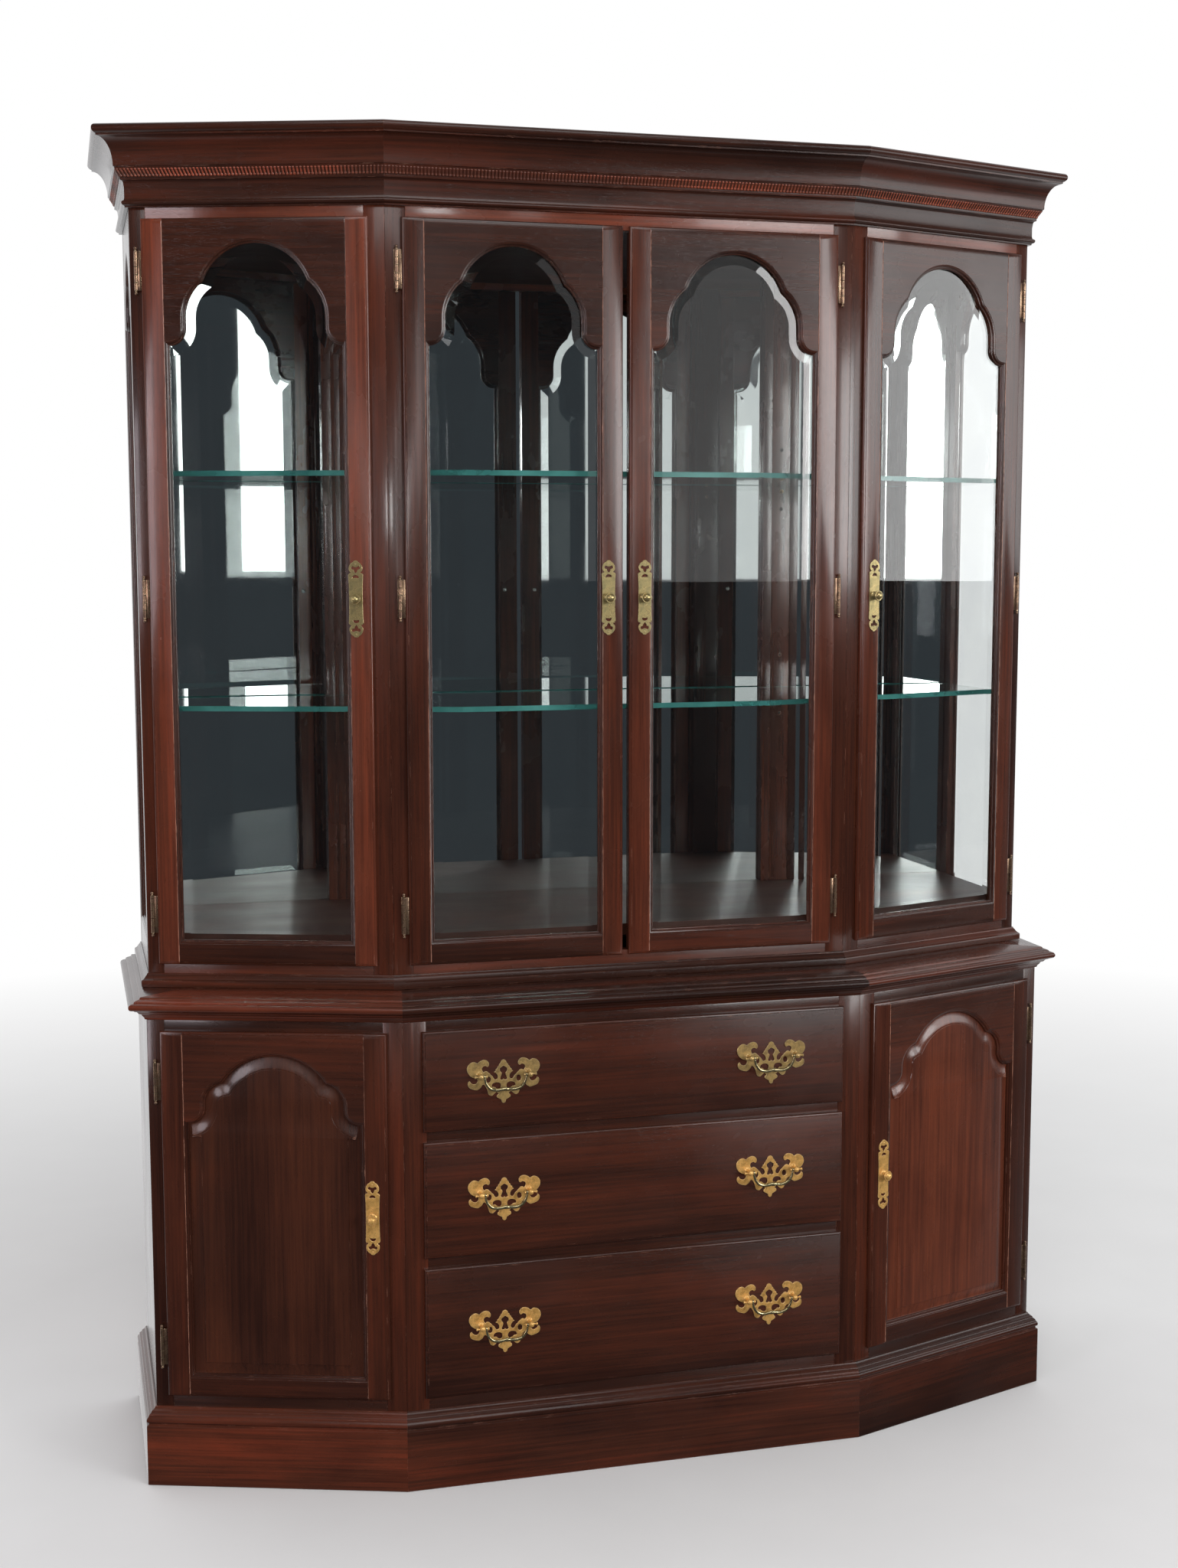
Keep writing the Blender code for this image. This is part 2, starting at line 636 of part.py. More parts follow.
def panel_door(label, side, left_edge, hinge_left):
    name = f"panel_door_{label}"
    bottom, top = LOWER_DOOR_Z
    height = top - bottom
    width = LOWER_DOOR_WIDTH
    corner, hinge = door_place(BASE, side, left_edge, width, bottom, hinge_left)
    opening = arched_opening(width / 2, width / 2 - STILE_WIDTH - 0.002, BOTTOM_RAIL - 0.0025,
                             height - TOP_RAIL, FLAT_ARCH)
    frame = door_layers(name + "_frame", width, height, opening, hinge_left, False, wood, corner)
    put_origin(frame, hinge)
    sections = [(REBATE - GAP, TONGUE), (REBATE - GAP, 0.0), (-0.001, 0.0), (-RAISED_BEVEL, -RAISED_FIELD)]
    rings = [[(x, y, z) for x, z in grown(opening, out)] for out, y in sections]
    panel = add_object(name + "_panel", loft_mesh(name + "_panel", rings), corner, wood)
    put_origin(panel, hinge)
    knob_x = width - KNOB_INSET if hinge_left else KNOB_INSET
    place = corner @ Matrix.Translation((knob_x, -LIP - GAP, LOWER_KNOB_Z - bottom))
    knob_with_plate(name + "_knob", place, brass)


def doors():
    length = face_length(HUTCH)
    inner_left = CENTRE_HALF - MEETING_GAP / 2 - UPPER_DOOR_WIDTH
    inner_right = CENTRE_HALF + MEETING_GAP / 2
    glass_door("outer_left", "left", UPPER_MARGIN, True, False)
    glass_door("inner_left", "centre", inner_left, True, True)
    glass_door("inner_right", "centre", inner_right, False, True)
    glass_door("outer_right", "right", length - UPPER_MARGIN - UPPER_DOOR_WIDTH, False, False)
    panel_door("left", "left", LOWER_MARGIN, True)
    panel_door("right", "right", face_length(BASE) - LOWER_MARGIN - LOWER_DOOR_WIDTH, False)


# ---------------------------------------------------------------- drawers
def drawer(label, bottom, top):
    name = f"drawer_{label}"
    half = DRAWER_HALF_WIDTH
    face = BASE.face_y
    front = box_mesh(name + "_front", (-half, face - LIP, bottom), (half, face - GAP, top))
    made = add_object(name + "_front", front, surface=wood)
    insert = box_cutter(name + "_insert", (-half + LIP, face - LIP / 2, bottom + LIP),
                        (half - LIP, face + INSERT, top - LIP))
    boolean(made, insert, "UNION")
    drawer_box(name, bottom + 0.016, top - 0.026)
    plate_z = (bottom + top) / 2 - 0.003
    for side, sign in (("left", -1), ("right", 1)):
        pull(name, side, sign * PULL_X, plate_z)


def drawer_box(name, bottom, top):
    half = DRAWER_BOX_HALF_WIDTH - DOOR_CLEARANCE
    front = BASE.face_y + INSERT + GAP
    back = front + DRAWER_BOX_DEPTH
    made = box(name + "_box", (-half, front, bottom), (half, back, top), inner_wood)
    inside = box_cutter(name + "_box_inside", (-half + DRAWER_SIDE, front + DRAWER_SIDE, bottom + 0.010),
                        (half - DRAWER_SIDE, back - DRAWER_SIDE, top + 0.01))
    boolean(made, inside, "DIFFERENCE")


def batwing_outline():
    """A brass plate with a pointed crest, swept shoulders and a drop in the middle."""
    right = [(0.0, -0.0360), (0.0080, -0.0290), (0.0180, -0.0256), (0.0270, -0.0300), (0.0380, -0.0244),
             (0.0440, -0.0130), (0.0520, -0.0080), (0.0565, 0.0020), (0.0530, 0.0130), (0.0490, 0.0220),
             (0.0400, 0.0240), (0.0300, 0.0215), (0.0210, 0.0290), (0.0110, 0.0310), (0.0, 0.0360)]
    left = [(-x, z) for x, z in reversed(right[1:-1])]
    return right + left


def pull(drawer_name, side, x, z):
    """A plate with two posts, and the bail that hangs between them."""
    name = f"{drawer_name}_pull_plate_{side}"
    face = BASE.face_y - LIP - GAP
    place = Matrix.Translation((x, face, z))
    plate = add_object(name, upright_mesh(name, [batwing_outline()], -0.0020, 0.0), place, brass)
    post_z = 0.0110
    reach = PULL_REACH - LIP - GAP
    for label, sign in (("left", -1), ("right", 1)):
        at = (sign * POST_SPACING / 2, -0.001, post_z)
        post = cylinder_mesh(f"{name}_post_{label}", 0.0042, at, (at[0], -reach, post_z))
        cutter = as_cutter(add_object(f"{name}_post_{label}", post, place, collection=CUTTERS))
        boolean(plate, cutter, "UNION")
    axis = place @ Matrix.Translation((0.0, -reach + 0.0045, post_z))
    bail(f"{drawer_name}_bail_{side}", axis)


def bail(name, axis):
    """A bent rod whose ends pivot beside the posts; its origin is on the pivot line."""
    inside = POST_SPACING / 2 + 0.0045
    shoulder = inside + 0.0062
    right = [(inside, 0.0), (inside + 0.0040, 0.0), (shoulder, -0.0020), (shoulder, -0.0060)]
    right += [(inside + 0.0020, -0.0140), (inside - 0.0050, -0.0215), (inside - 0.0160, -0.0255)]
    right += [(0.0120, -0.0235)]
    points = right + [(0.0, -0.0225)] + [(-x, z) for x, z in reversed(right)]
    curve = bpy.data.curves.new(name, "CURVE")
    curve.dimensions = "3D"
    curve.bevel_depth = 0.0027
    curve.bevel_resolution = 2
    curve.use_fill_caps = True
    spline = curve.splines.new("POLY")
    spline.points.add(len(points) - 1)
    for point, (x, z) in zip(spline.points, points):
        point.co = (x, 0.0, z, 1.0)
    made = bpy.data.objects.new(name, curve)
    PARTS.objects.link(made)
    curve.materials.append(brass(name))
    made.matrix_world = axis


def drawers():
    for label, (bottom, top) in DRAWER_Z.items():
        drawer(label, bottom, top)


def main():
    mouldings()
    hutch_face_frame()
    hutch_boards()
    back_posts()
    glass_shelves()
    hutch_ends()
    buffet_top()
    base_carcase()
    doors()
    drawers()
    bpy.context.view_layer.update()


main()
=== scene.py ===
"""Looks for the china cabinet: a glazed, canted hutch on a buffet base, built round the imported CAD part."""

import math
import random
from collections import namedtuple

import bmesh
import bpy
from mathutils import Matrix, Vector
from mathutils.geometry import tessellate_polygon


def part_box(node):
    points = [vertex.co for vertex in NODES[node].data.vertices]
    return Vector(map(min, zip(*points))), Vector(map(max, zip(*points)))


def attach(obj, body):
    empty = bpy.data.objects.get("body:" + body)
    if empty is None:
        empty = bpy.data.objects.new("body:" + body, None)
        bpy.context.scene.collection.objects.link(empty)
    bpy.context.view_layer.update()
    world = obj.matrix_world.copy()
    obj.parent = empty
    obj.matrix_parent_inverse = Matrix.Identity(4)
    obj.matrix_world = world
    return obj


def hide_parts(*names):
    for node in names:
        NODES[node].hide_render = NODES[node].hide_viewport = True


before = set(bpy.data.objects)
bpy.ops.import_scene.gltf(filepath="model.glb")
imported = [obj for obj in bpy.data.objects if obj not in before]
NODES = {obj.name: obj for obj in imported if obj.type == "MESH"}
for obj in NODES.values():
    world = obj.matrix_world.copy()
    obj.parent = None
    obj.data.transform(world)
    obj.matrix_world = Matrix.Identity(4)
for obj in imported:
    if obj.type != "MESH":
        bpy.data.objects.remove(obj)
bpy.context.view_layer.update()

# ---------------------------------------------------------------- dimensions, in metres, as in the CAD
CANT = math.radians(18.4)
CENTRE_HALF = 0.368
Y_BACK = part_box("hutch_back_panel")[1].y
GAP = 0.0003
BOARD = 0.020
LIP = 0.008
INSERT = 0.012
REBATE = 0.006
PANE = 0.004
COVER = LIP - 0.0015                # how far a door or drawer front laps over the face frame
UPPER_DOOR_Z = (0.8014, 1.9206)
LOWER_DOOR_Z = (0.1403, 0.7135)
UPPER_DOOR_WIDTH = 0.339
LOWER_DOOR_WIDTH = 0.346
UPPER_MARGIN = 0.018
LOWER_MARGIN = 0.020
MEETING_GAP = 0.010
STILE_WIDTH = 0.040
BOTTOM_RAIL = 0.0385
TOP_RAIL = 0.037
END_STILE_WIDTH = 0.038
END_JOINT = 0.031
JOINT = 0.033                      # where stile and rail meet, from the door's edge
HINGE_OUT = 0.0077
HINGE_FORWARD = 0.0045
KNOB_INSET = 0.024
UPPER_KNOB_Z = 1.361
LOWER_KNOB_Z = 0.4297
HUTCH_FLOOR = 0.846
HUTCH_CEILING = 1.926
HUTCH_TOP = 1.990
BUFFET_TOP = 0.766
BASE_TOP = 0.730
PLINTH_TOP = 0.095
DRAWER_HALF_WIDTH = 0.339
DRAWER_Z = {"top": (0.5590, 0.7145), "middle": (0.3620, 0.5430), "bottom": (0.1400, 0.3450)}
PULL_X = 0.2155
POST_HALF = 0.0381
POST_Z = 0.0110
UPPER_HINGES = (1.845, 1.361, 0.879)
LOWER_HINGES = (0.635, 0.218)

Arch = namedtuple("Arch", "rise cusp lobe flare")
TALL_ARCH = Arch(1.143, 0.417, 0.826, 0.942)
FLAT_ARCH = Arch(0.809, 0.328, 0.573, 0.626)
CUSP_REACH = 0.60
LOBE_REACH = 0.807

Body = namedtuple("Body", "half_width face_y")
HUTCH = Body(0.730, Y_BACK - 0.381)
BASE = Body(0.7376, Y_BACK - 0.456)

mm = 0.001
SEED = random.Random(7)


# ---------------------------------------------------------------- materials
class Tree:
    """Short names for the few shader nodes the materials use."""

    def __init__(self, name):
        self.material = bpy.data.materials.new(name)
        self.material.use_nodes = True
        self.nodes = self.material.node_tree.nodes
        self.links = self.material.node_tree.links
        self.shader = self.nodes["Principled BSDF"]
        self.output = self.nodes["Material Output"]

    def put(self, socket, value):
        if isinstance(value, bpy.types.NodeSocket):
            self.links.new(value, socket)
        else:
            socket.default_value = value

    def set(self, **values):
        for name, value in values.items():
            self.put(self.shader.inputs[name.replace("_", " ")], value)

    def node(self, kind, **inputs):
        made = self.nodes.new("ShaderNode" + kind)
        for name, value in inputs.items():
            self.put(made.inputs[name.replace("_", " ")], value)
        return made

    def place(self):
        return self.node("TexCoord").outputs["Object"]

    def attribute(self, name, output):
        node = self.node("Attribute")
        node.attribute_name = name
        return node.outputs[output]

    def mapped(self, vector, scale, turn=(0.0, 0.0, 0.0)):
        return self.node("Mapping", Vector=vector, Scale=scale, Rotation=turn).outputs["Vector"]

    def noise(self, vector, scale, detail=3.0, roughness=0.55, distortion=0.0):
        return self.node("TexNoise", Vector=vector, Scale=scale, Detail=detail, Roughness=roughness,
                         Distortion=distortion).outputs["Fac"]

    def ramp(self, value, stops):
        node = self.nodes.new("ShaderNodeValToRGB")
        self.put(node.inputs["Fac"], value)
        elements = node.color_ramp.elements
        while len(elements) < len(stops):
            elements.new(0.5)
        for element, (place, colour) in zip(elements, stops):
            element.position = place
            element.color = (*colour, 1.0) if len(colour) == 3 else colour
        return node.outputs["Color"]

    def level(self, value, low, high, to_low=0.0, to_high=1.0):
        return self.node("MapRange", Value=value, From_Min=low, From_Max=high, To_Min=to_low,
                         To_Max=to_high).outputs["Result"]

    def maths(self, operation, first, second=0.5):
        node = self.nodes.new("ShaderNodeMath")
        node.operation = operation
        self.put(node.inputs[0], first)
        self.put(node.inputs[1], second)
        return node.outputs[0]

    def mix(self, factor, first, second, blend="MIX"):
        node = self.nodes.new("ShaderNodeMix")
        node.data_type = "RGBA"
        node.blend_type = blend
        self.put(node.inputs["Factor"], factor)
        colours = [socket for socket in node.inputs if socket.type == "RGBA"]
        for socket, value in zip(colours, (first, second)):
            self.put(socket, value if isinstance(value, bpy.types.NodeSocket) else (*value, 1.0))
        return [socket for socket in node.outputs if socket.type == "RGBA"][0]

    def bump(self, height, strength, distance):
        node = self.node("Bump", Strength=strength, Distance=distance, Height=height)
        self.put(self.shader.inputs["Normal"], node.outputs["Normal"])

    def across(self, pores):
        """The direction on the surface that lies square to the pores, which spreads a highlight."""
        world = self.node("VectorTransform", Vector=pores)
        world.vector_type = "VECTOR"
        world.convert_from = "OBJECT"
        world.convert_to = "WORLD"
        cross = self.node("VectorMath")
        cross.operation = "CROSS_PRODUCT"
        self.links.new(world.outputs[0], cross.inputs[0])
        self.links.new(self.node("NewGeometry").outputs["Normal"], cross.inputs[1])
        return cross.outputs[0]

    def worn_edges(self, radius):
        """1 where a rounded copy of the surface would turn away from the real one: the edges."""
        bevel = self.node("Bevel", Radius=radius)
        bevel.samples = 3
        geometry = self.node("NewGeometry")
        dot = self.node("VectorMath")
        dot.operation = "DOT_PRODUCT"
        self.links.new(bevel.outputs["Normal"], dot.inputs[0])
        self.links.new(geometry.outputs["Normal"], dot.inputs[1])
        return self.level(dot.outputs["Value"], 0.995, 0.86)


def wood(name, shade=1.0, red=1.0, gloss=0.25, coat=0.30, polish=0.45, wear=0.75,
         grain_from=None, turn=(0.0, 0.0, 0.0)):
    """Polished mahogany. Its grain runs along X of the grain attribute, or of the object turned to suit."""
    tree = Tree(name)
    if grain_from == "object":
        place = tree.place()
        place = tree.mapped(place, (1.0, 1.0, 1.0), turn)
    else:
        place = tree.attribute("grain", "Vector")
    figure = tree.noise(tree.mapped(place, (1.1, 13.0, 13.0)), 1.0, 3.0, 0.55, 0.25)
    streaks = tree.noise(tree.mapped(place, (5.0, 210.0, 210.0)), 1.0, 4.0, 0.62, 0.1)
    pores = tree.noise(tree.mapped(place, (90.0, 1900.0, 1900.0)), 1.0, 2.0, 0.55)
    blotches = tree.noise(tree.mapped(place, (5.0, 9.0, 9.0)), 1.0, 4.0, 0.6, 0.3)
    dark = (0.0175 * shade, 0.0060 * shade, 0.0038 * shade)
    body = (0.0340 * shade, 0.0108 * shade, 0.0060 * shade)
    warm = (0.0640 * shade * red, 0.0165 * shade, 0.0080 * shade)
    mixed = tree.maths("ADD", tree.maths("MULTIPLY", figure, 0.60), tree.maths("MULTIPLY", streaks, 0.40))
    colour = tree.ramp(mixed, [(0.36, dark), (0.50, body), (0.66, warm)])
    blotch = tree.ramp(blotches, [(0.30, (0.72, 0.70, 0.72)), (0.52, (1.0, 1.0, 1.0)),
                                  (0.75, (1.25, 1.12, 1.04))])
    colour = tree.mix(0.8, colour, blotch, "MULTIPLY")
    if grain_from is None:
        # Tone of each board: its own random colour up to the middle of the ramp; the high end, up to 3.6
        # times lighter and lilac-grey, is painted sheen on the brightest stiles.
        tone_and_sheen = tree.ramp(tree.attribute("tone_and_sheen", "Fac"), [(0.0, (0.62, 0.64, 0.68)), (0.5, (1.0, 1.0, 1.0)),
                                                         (1.0, (3.6, 2.9, 2.6))])
        colour = tree.mix(1.0, colour, tone_and_sheen, "MULTIPLY")
    pore_marks = tree.level(pores, 0.60, 0.72)
    colour = tree.mix(tree.maths("MULTIPLY", pore_marks, 0.45), colour, (0.008, 0.003, 0.002))
    patches = tree.noise(tree.mapped(place, (30.0, 80.0, 80.0)), 1.0, 4.0, 0.65)
    pale = (0.40, 0.20, 0.14)
    if wear:
        rubbed = tree.maths("MULTIPLY", tree.worn_edges(0.0008), tree.level(patches, 0.55, 0.62))
        colour = tree.mix(tree.maths("MULTIPLY", rubbed, wear), colour, pale)
    if grain_from is None:
        opened = tree.maths("MULTIPLY", tree.attribute("joint", "Fac"),
                            tree.level(patches, 0.40, 0.52, 0.25, 1.0))
        colour = tree.mix(opened, colour, pale)
    smudge = tree.noise(tree.mapped(place, (6.0, 9.0, 9.0)), 1.0, 4.0, 0.6)
    rough = tree.level(smudge, 0.3, 0.7, gloss - 0.04, gloss + 0.06)
    tree.set(Base_Color=colour, Roughness=rough, Coat_Weight=coat, Coat_Roughness=0.10, IOR=1.50)
    tree.set(Specular_IOR_Level=polish)
    if grain_from is None:
        tree.set(Anisotropic=0.75, Tangent=tree.across(tree.attribute("pores", "Vector")))
    height = tree.maths("ADD", tree.maths("MULTIPLY", pore_marks, -0.6),
                        tree.maths("MULTIPLY", streaks, 0.35))
    tree.bump(height, 0.18, 0.0004)
    return tree.material


def brass(name, bright, dull, rough, spots, metal=0.85):
    tree = Tree(name)
    place = tree.place()
    tarnish = tree.noise(place, 90.0, 5.0, 0.62, 0.3)
    fine = tree.noise(place, 900.0, 2.0, 0.5)
    colour = tree.mix(tree.level(tarnish, 0.38, 0.66), bright, dull)
    speckles = tree.level(fine, 0.62, 0.72, 0.0, spots)
    colour = tree.mix(speckles, colour, (0.10, 0.065, 0.025))
    edges = tree.worn_edges(0.0007)
    colour = tree.mix(tree.maths("MULTIPLY", edges, 0.7), colour, (0.95, 0.80, 0.50))
    tree.set(Base_Color=colour, Metallic=metal)
    tree.set(Roughness=tree.level(tarnish, 0.3, 0.7, rough - 0.06, rough + 0.12))
    tree.bump(tree.maths("ADD", fine, tarnish), 0.10, 0.0002)
    return tree.material


def let_lamps_through(tree, tint):
    """Glass that doesn't shut the lamps out of what is behind it."""
    path = tree.nodes.new("ShaderNodeLightPath")
    clear = tree.nodes.new("ShaderNodeBsdfTransparent")
    clear.inputs["Color"].default_value = (*tint, 1.0)
    mixed = tree.nodes.new("ShaderNodeMixShader")
    tree.links.new(path.outputs["Is Shadow Ray"], mixed.inputs["Fac"])
    tree.links.new(tree.shader.outputs["BSDF"], mixed.inputs[1])
    tree.links.new(clear.outputs["BSDF"], mixed.inputs[2])
    tree.links.new(mixed.outputs["Shader"], tree.output.inputs["Surface"])


def pane_glass(name):
    tree = Tree(name)
    place = tree.place()
    waves = tree.noise(place, 5.0, 1.0, 0.4)
    haze = tree.noise(place, 9.0, 5.0, 0.6)
    colour = tree.mix(tree.level(haze, 0.45, 0.75), (0.965, 0.985, 0.975), (0.93, 0.95, 0.95))
    tree.set(Base_Color=colour, Transmission_Weight=1.0, IOR=1.50, Roughness=0.0)
    tree.bump(waves, 0.04, 0.0006)
    let_lamps_through(tree, (0.93, 0.96, 0.95))
    return tree.material


def shelf_glass(name):
    """Clear through its faces, and green at its polished edges."""
    tree = Tree(name)
    normal = tree.nodes.new("ShaderNodeNewGeometry").outputs["Normal"]
    split = tree.nodes.new("ShaderNodeSeparateXYZ")
    tree.links.new(normal, split.inputs[0])
    upright = tree.level(tree.maths("ABSOLUTE", split.outputs["Z"]), 0.15, 0.65)
    place = tree.place()
    veil = tree.level(tree.noise(place, 14.0, 4.0), 0.4, 0.7)
    green = tree.mix(veil, (0.035, 0.15, 0.14), (0.08, 0.26, 0.24))
    colour = tree.mix(upright, green, (0.86, 0.97, 0.94))
    clear = tree.maths("MAXIMUM", upright, 0.45)
    tree.set(Base_Color=colour, Transmission_Weight=clear, IOR=1.50, Roughness=0.01)
    let_lamps_through(tree, (0.84, 0.93, 0.90))
    return tree.material


def silvering(name):
    tree = Tree(name)
    place = tree.place()
    haze = tree.noise(place, 7.0, 5.0, 0.62)
    colour = tree.mix(tree.level(haze, 0.4, 0.75), (0.80, 0.84, 0.83), (0.74, 0.78, 0.78))
    tree.set(Base_Color=colour, Metallic=1.0, Roughness=tree.level(haze, 0.3, 0.8, 0.008, 0.03))
    return tree.material


def hardboard(name):
    tree = Tree(name)
    place = tree.place()
    fibres = tree.noise(tree.mapped(place, (260.0, 260.0, 90.0)), 1.0, 5.0, 0.7)
    cloud = tree.noise(place, 5.0, 4.0, 0.6)
    colour = tree.ramp(fibres, [(0.3, (0.10, 0.052, 0.026)), (0.7, (0.20, 0.115, 0.062))])
    shade = tree.ramp(cloud, [(0.3, (0.8, 0.8, 0.8)), (0.7, (1.1, 1.1, 1.1))])
    tree.set(Base_Color=tree.mix(1.0, colour, shade, "MULTIPLY"),
             Roughness=tree.level(fibres, 0.3, 0.7, 0.6, 0.8))
    tree.bump(fibres, 0.3, 0.0005)
    return tree.material


FRAME_WOOD = wood("frame_mahogany")
DOOR_WOOD = wood("door_mahogany", shade=1.0, red=1.0)
PANEL_WOOD = wood("panel_mahogany", shade=1.6, red=0.85, wear=0.5)
MOULDING_WOOD = wood("moulding_mahogany", shade=1.1, red=1.1, coat=0.22, polish=0.35, wear=0.8)
# The beads' wood is three times lighter and redder than the moulding's: painted highlight on the bead row.
BEAD_HIGHLIGHT_WOOD = wood("bead_mahogany_painted_highlight", shade=3.0, red=1.2, coat=0.3, wear=0.0)
INNER_WOOD = wood("inner_wood", shade=0.9, red=0.9, gloss=0.40, coat=0.04, polish=0.22, wear=0.3,
                  grain_from="object")
END_WOOD = wood("end_mahogany", grain_from="object", turn=(0.0, math.radians(90), 0.0))
BACK_BOARD = hardboard("back_hardboard")
PULL_BRASS = brass("pull_brass", (0.92, 0.54, 0.17), (0.50, 0.27, 0.07), 0.34, 0.85, 0.5)
BAIL_BRASS = brass("bail_brass", (0.58, 0.50, 0.28), (0.26, 0.20, 0.10), 0.20, 0.5, 0.95)
# A darker copy of the pull brass for the top drawer: painted shade, as its reflections look darker there.
TOP_BRASS = brass("top_drawer_shaded_brass", (0.62, 0.42, 0.16), (0.30, 0.20, 0.08), 0.34, 0.85, 0.6)
OLD_BRASS = brass("old_brass", (0.54, 0.42, 0.19), (0.24, 0.21, 0.10), 0.28, 0.5, 0.8)
STEEL = brass("screw_steel", (0.72, 0.70, 0.66), (0.45, 0.43, 0.40), 0.25, 0.3)
HINGE_BRASS = brass("hinge_brass", (0.34, 0.22, 0.14), (0.12, 0.07, 0.05), 0.26, 0.6)
PANE_GLASS = pane_glass("bevelled_glass")
SHELF_GLASS = shelf_glass("green_edged_glass")
MIRROR = silvering("silvering")


# ---------------------------------------------------------------- meshes
def grown(outline, distance):
    """An outline, counter-clockwise, moved outwards by a distance (inwards if it is negative)."""
    if not distance:
        return list(outline)
    result = []
    count = len(outline)
    for i, point in enumerate(outline):
        here = Vector(point)
        before = (here - Vector(outline[i - 1])).normalized()
        after = (Vector(outline[(i + 1) % count]) - here).normalized()
        out_before = Vector((before.y, -before.x))
        out_after = Vector((after.y, -after.x))
        middle = (out_before + out_after).normalized()
        reach = distance / max(0.5, middle.dot(out_before))
        moved = here + middle * reach
        result.append((moved.x, moved.y))
    return result


def rectangle(x0, x1, z0, z1):
    return [(x0, z0), (x1, z0), (x1, z1), (x0, z1)]


def arc(centre, radius, start, end, steps):
    rx, ry = radius if isinstance(radius, tuple) else (radius, radius)
    angles = [start + (end - start) * i / steps for i in range(steps + 1)]
    return [(centre[0] + rx * math.cos(a), centre[1] + ry * math.sin(a)) for a in angles]


def arched_opening(centre_x, half_width, bottom, top, shape, fine=3):
    """An opening whose head is a round arch between two cusps, with a lobe and a flare each side."""
    rise, cusp, lobe, flare = (ratio * half_width for ratio in shape)
    cusp_x = CUSP_REACH * half_width
    lobe_x = LOBE_REACH * half_width
    flare_radius = (half_width - lobe_x, rise - flare)
    flare_points = arc((half_width, -flare), flare_radius, -math.pi / 2, -math.pi, 4 * fine)
    lobe_radius = ((lobe_x - cusp_x) ** 2 + (lobe - cusp) ** 2) / (2 * (lobe_x - cusp_x))
    lobe_centre = (lobe_x - lobe_radius, -lobe)
    lobe_end = math.atan2(lobe - cusp, cusp_x - lobe_centre[0])
    lobe_points = arc(lobe_centre, lobe_radius, 0.0, lobe_end, 5 * fine)
    if flare - lobe < 1e-6:
        flare_points = flare_points[:-1]
    head_radius = (cusp_x ** 2 + cusp ** 2) / (2 * cusp)
    head_start = math.atan2(head_radius - cusp, cusp_x)
    head_points = arc((0.0, -head_radius), head_radius, head_start, math.pi / 2, 7 * fine)
    right = flare_points + lobe_points + head_points[1:-1]
    left = [(-x, z) for x, z in reversed(right)]
    feet = [(-half_width, bottom - top), (half_width, bottom - top)]
    return [(centre_x + x, top + z) for x, z in feet + right + [(0.0, 0.0)] + left]


def bridge(bm, rings):
    """Faces between each ring of vertices and the next."""
    for near, far in zip(rings, rings[1:]):
        for i in range(len(near)):
            j = (i + 1) % len(near)
            bm.faces.new((near[i], near[j], far[j], far[i]))


def closed_ends(bm, rings):
    bridge(bm, rings)
    bm.faces.new(rings[0])
    bm.faces.new(rings[-1])
    bmesh.ops.recalc_face_normals(bm, faces=bm.faces)
    return bm


def slab(stacks):
    """A solid in a bmesh. Each stack is a list of (outline in X and Z, y) from back to front;
    the first stack is the outside and the others are holes."""
    bm = bmesh.new()
    rows = []
    for stack in stacks:
        rings = [[bm.verts.new((x, y, z)) for x, z in outline] for outline, y in stack]
        bridge(bm, rings)
        rows.append(rings)
    for end in (0, -1):
        loops = [rings[end] for rings in rows]
        corners = [vertex for loop in loops for vertex in loop]
        if len(loops) == 1:
            bm.faces.new(loops[0])
            continue
        for triple in tessellate_polygon([[Vector((v.co.x, v.co.z, 0.0)) for v in loop] for loop in loops]):
            try:
                bm.faces.new([corners[i] for i in triple])
            except ValueError:
                continue
    bmesh.ops.recalc_face_normals(bm, faces=bm.faces)
    return bm


def loft(rings):
    bm = bmesh.new()
    return closed_ends(bm, [[bm.verts.new(point) for point in ring] for ring in rings])


def turned(profile, steps=28, axis_point=(0.0, 0.0)):
    """A round piece about an axis along Y; the profile is (radius, y) from back to front."""
    bm = bmesh.new()
    rings = []
    for radius, y in profile:
        if radius < 1e-7:
            rings.append([bm.verts.new((axis_point[0], y, axis_point[1]))])
            continue
        angles = [2 * math.pi * i / steps for i in range(steps)]
        x, z = axis_point
        rings.append([bm.verts.new((x + radius * math.cos(a), y, z + radius * math.sin(a))) for a in angles])
    for near, far in zip(rings, rings[1:]):
        for i in range(steps):
            j = (i + 1) % steps
            if len(near) == 1:
                bm.faces.new((near[0], far[j], far[i]))
            elif len(far) == 1:
                bm.faces.new((near[i], near[j], far[0]))
            else:
                bm.faces.new((near[i], near[j], far[j], far[i]))
    for ring in (rings[0], rings[-1]):
        if len(ring) > 1:
            bm.faces.new(ring)
    bmesh.ops.recalc_face_normals(bm, faces=bm.faces)
    return bm


def tube(points, radii, sides=12):
    """A closed round bar through points, with its own radius at each."""
    bm = bmesh.new()
    rings = []
    count = len(points)
    normal = Vector((0.0, -1.0, 0.0))
    for i, point in enumerate(points):
        here = Vector(point)
        ahead = Vector(points[min(i + 1, count - 1)]) - Vector(points[max(i - 1, 0)])
        ahead.normalize()
        side = ahead.cross(normal).normalized()
        up = side.cross(ahead).normalized()
        rings.append([bm.verts.new(here + (side * math.cos(a) + up * math.sin(a)) * radii[i])
                      for a in (2 * math.pi * k / sides for k in range(sides))])
    return closed_ends(bm, rings)


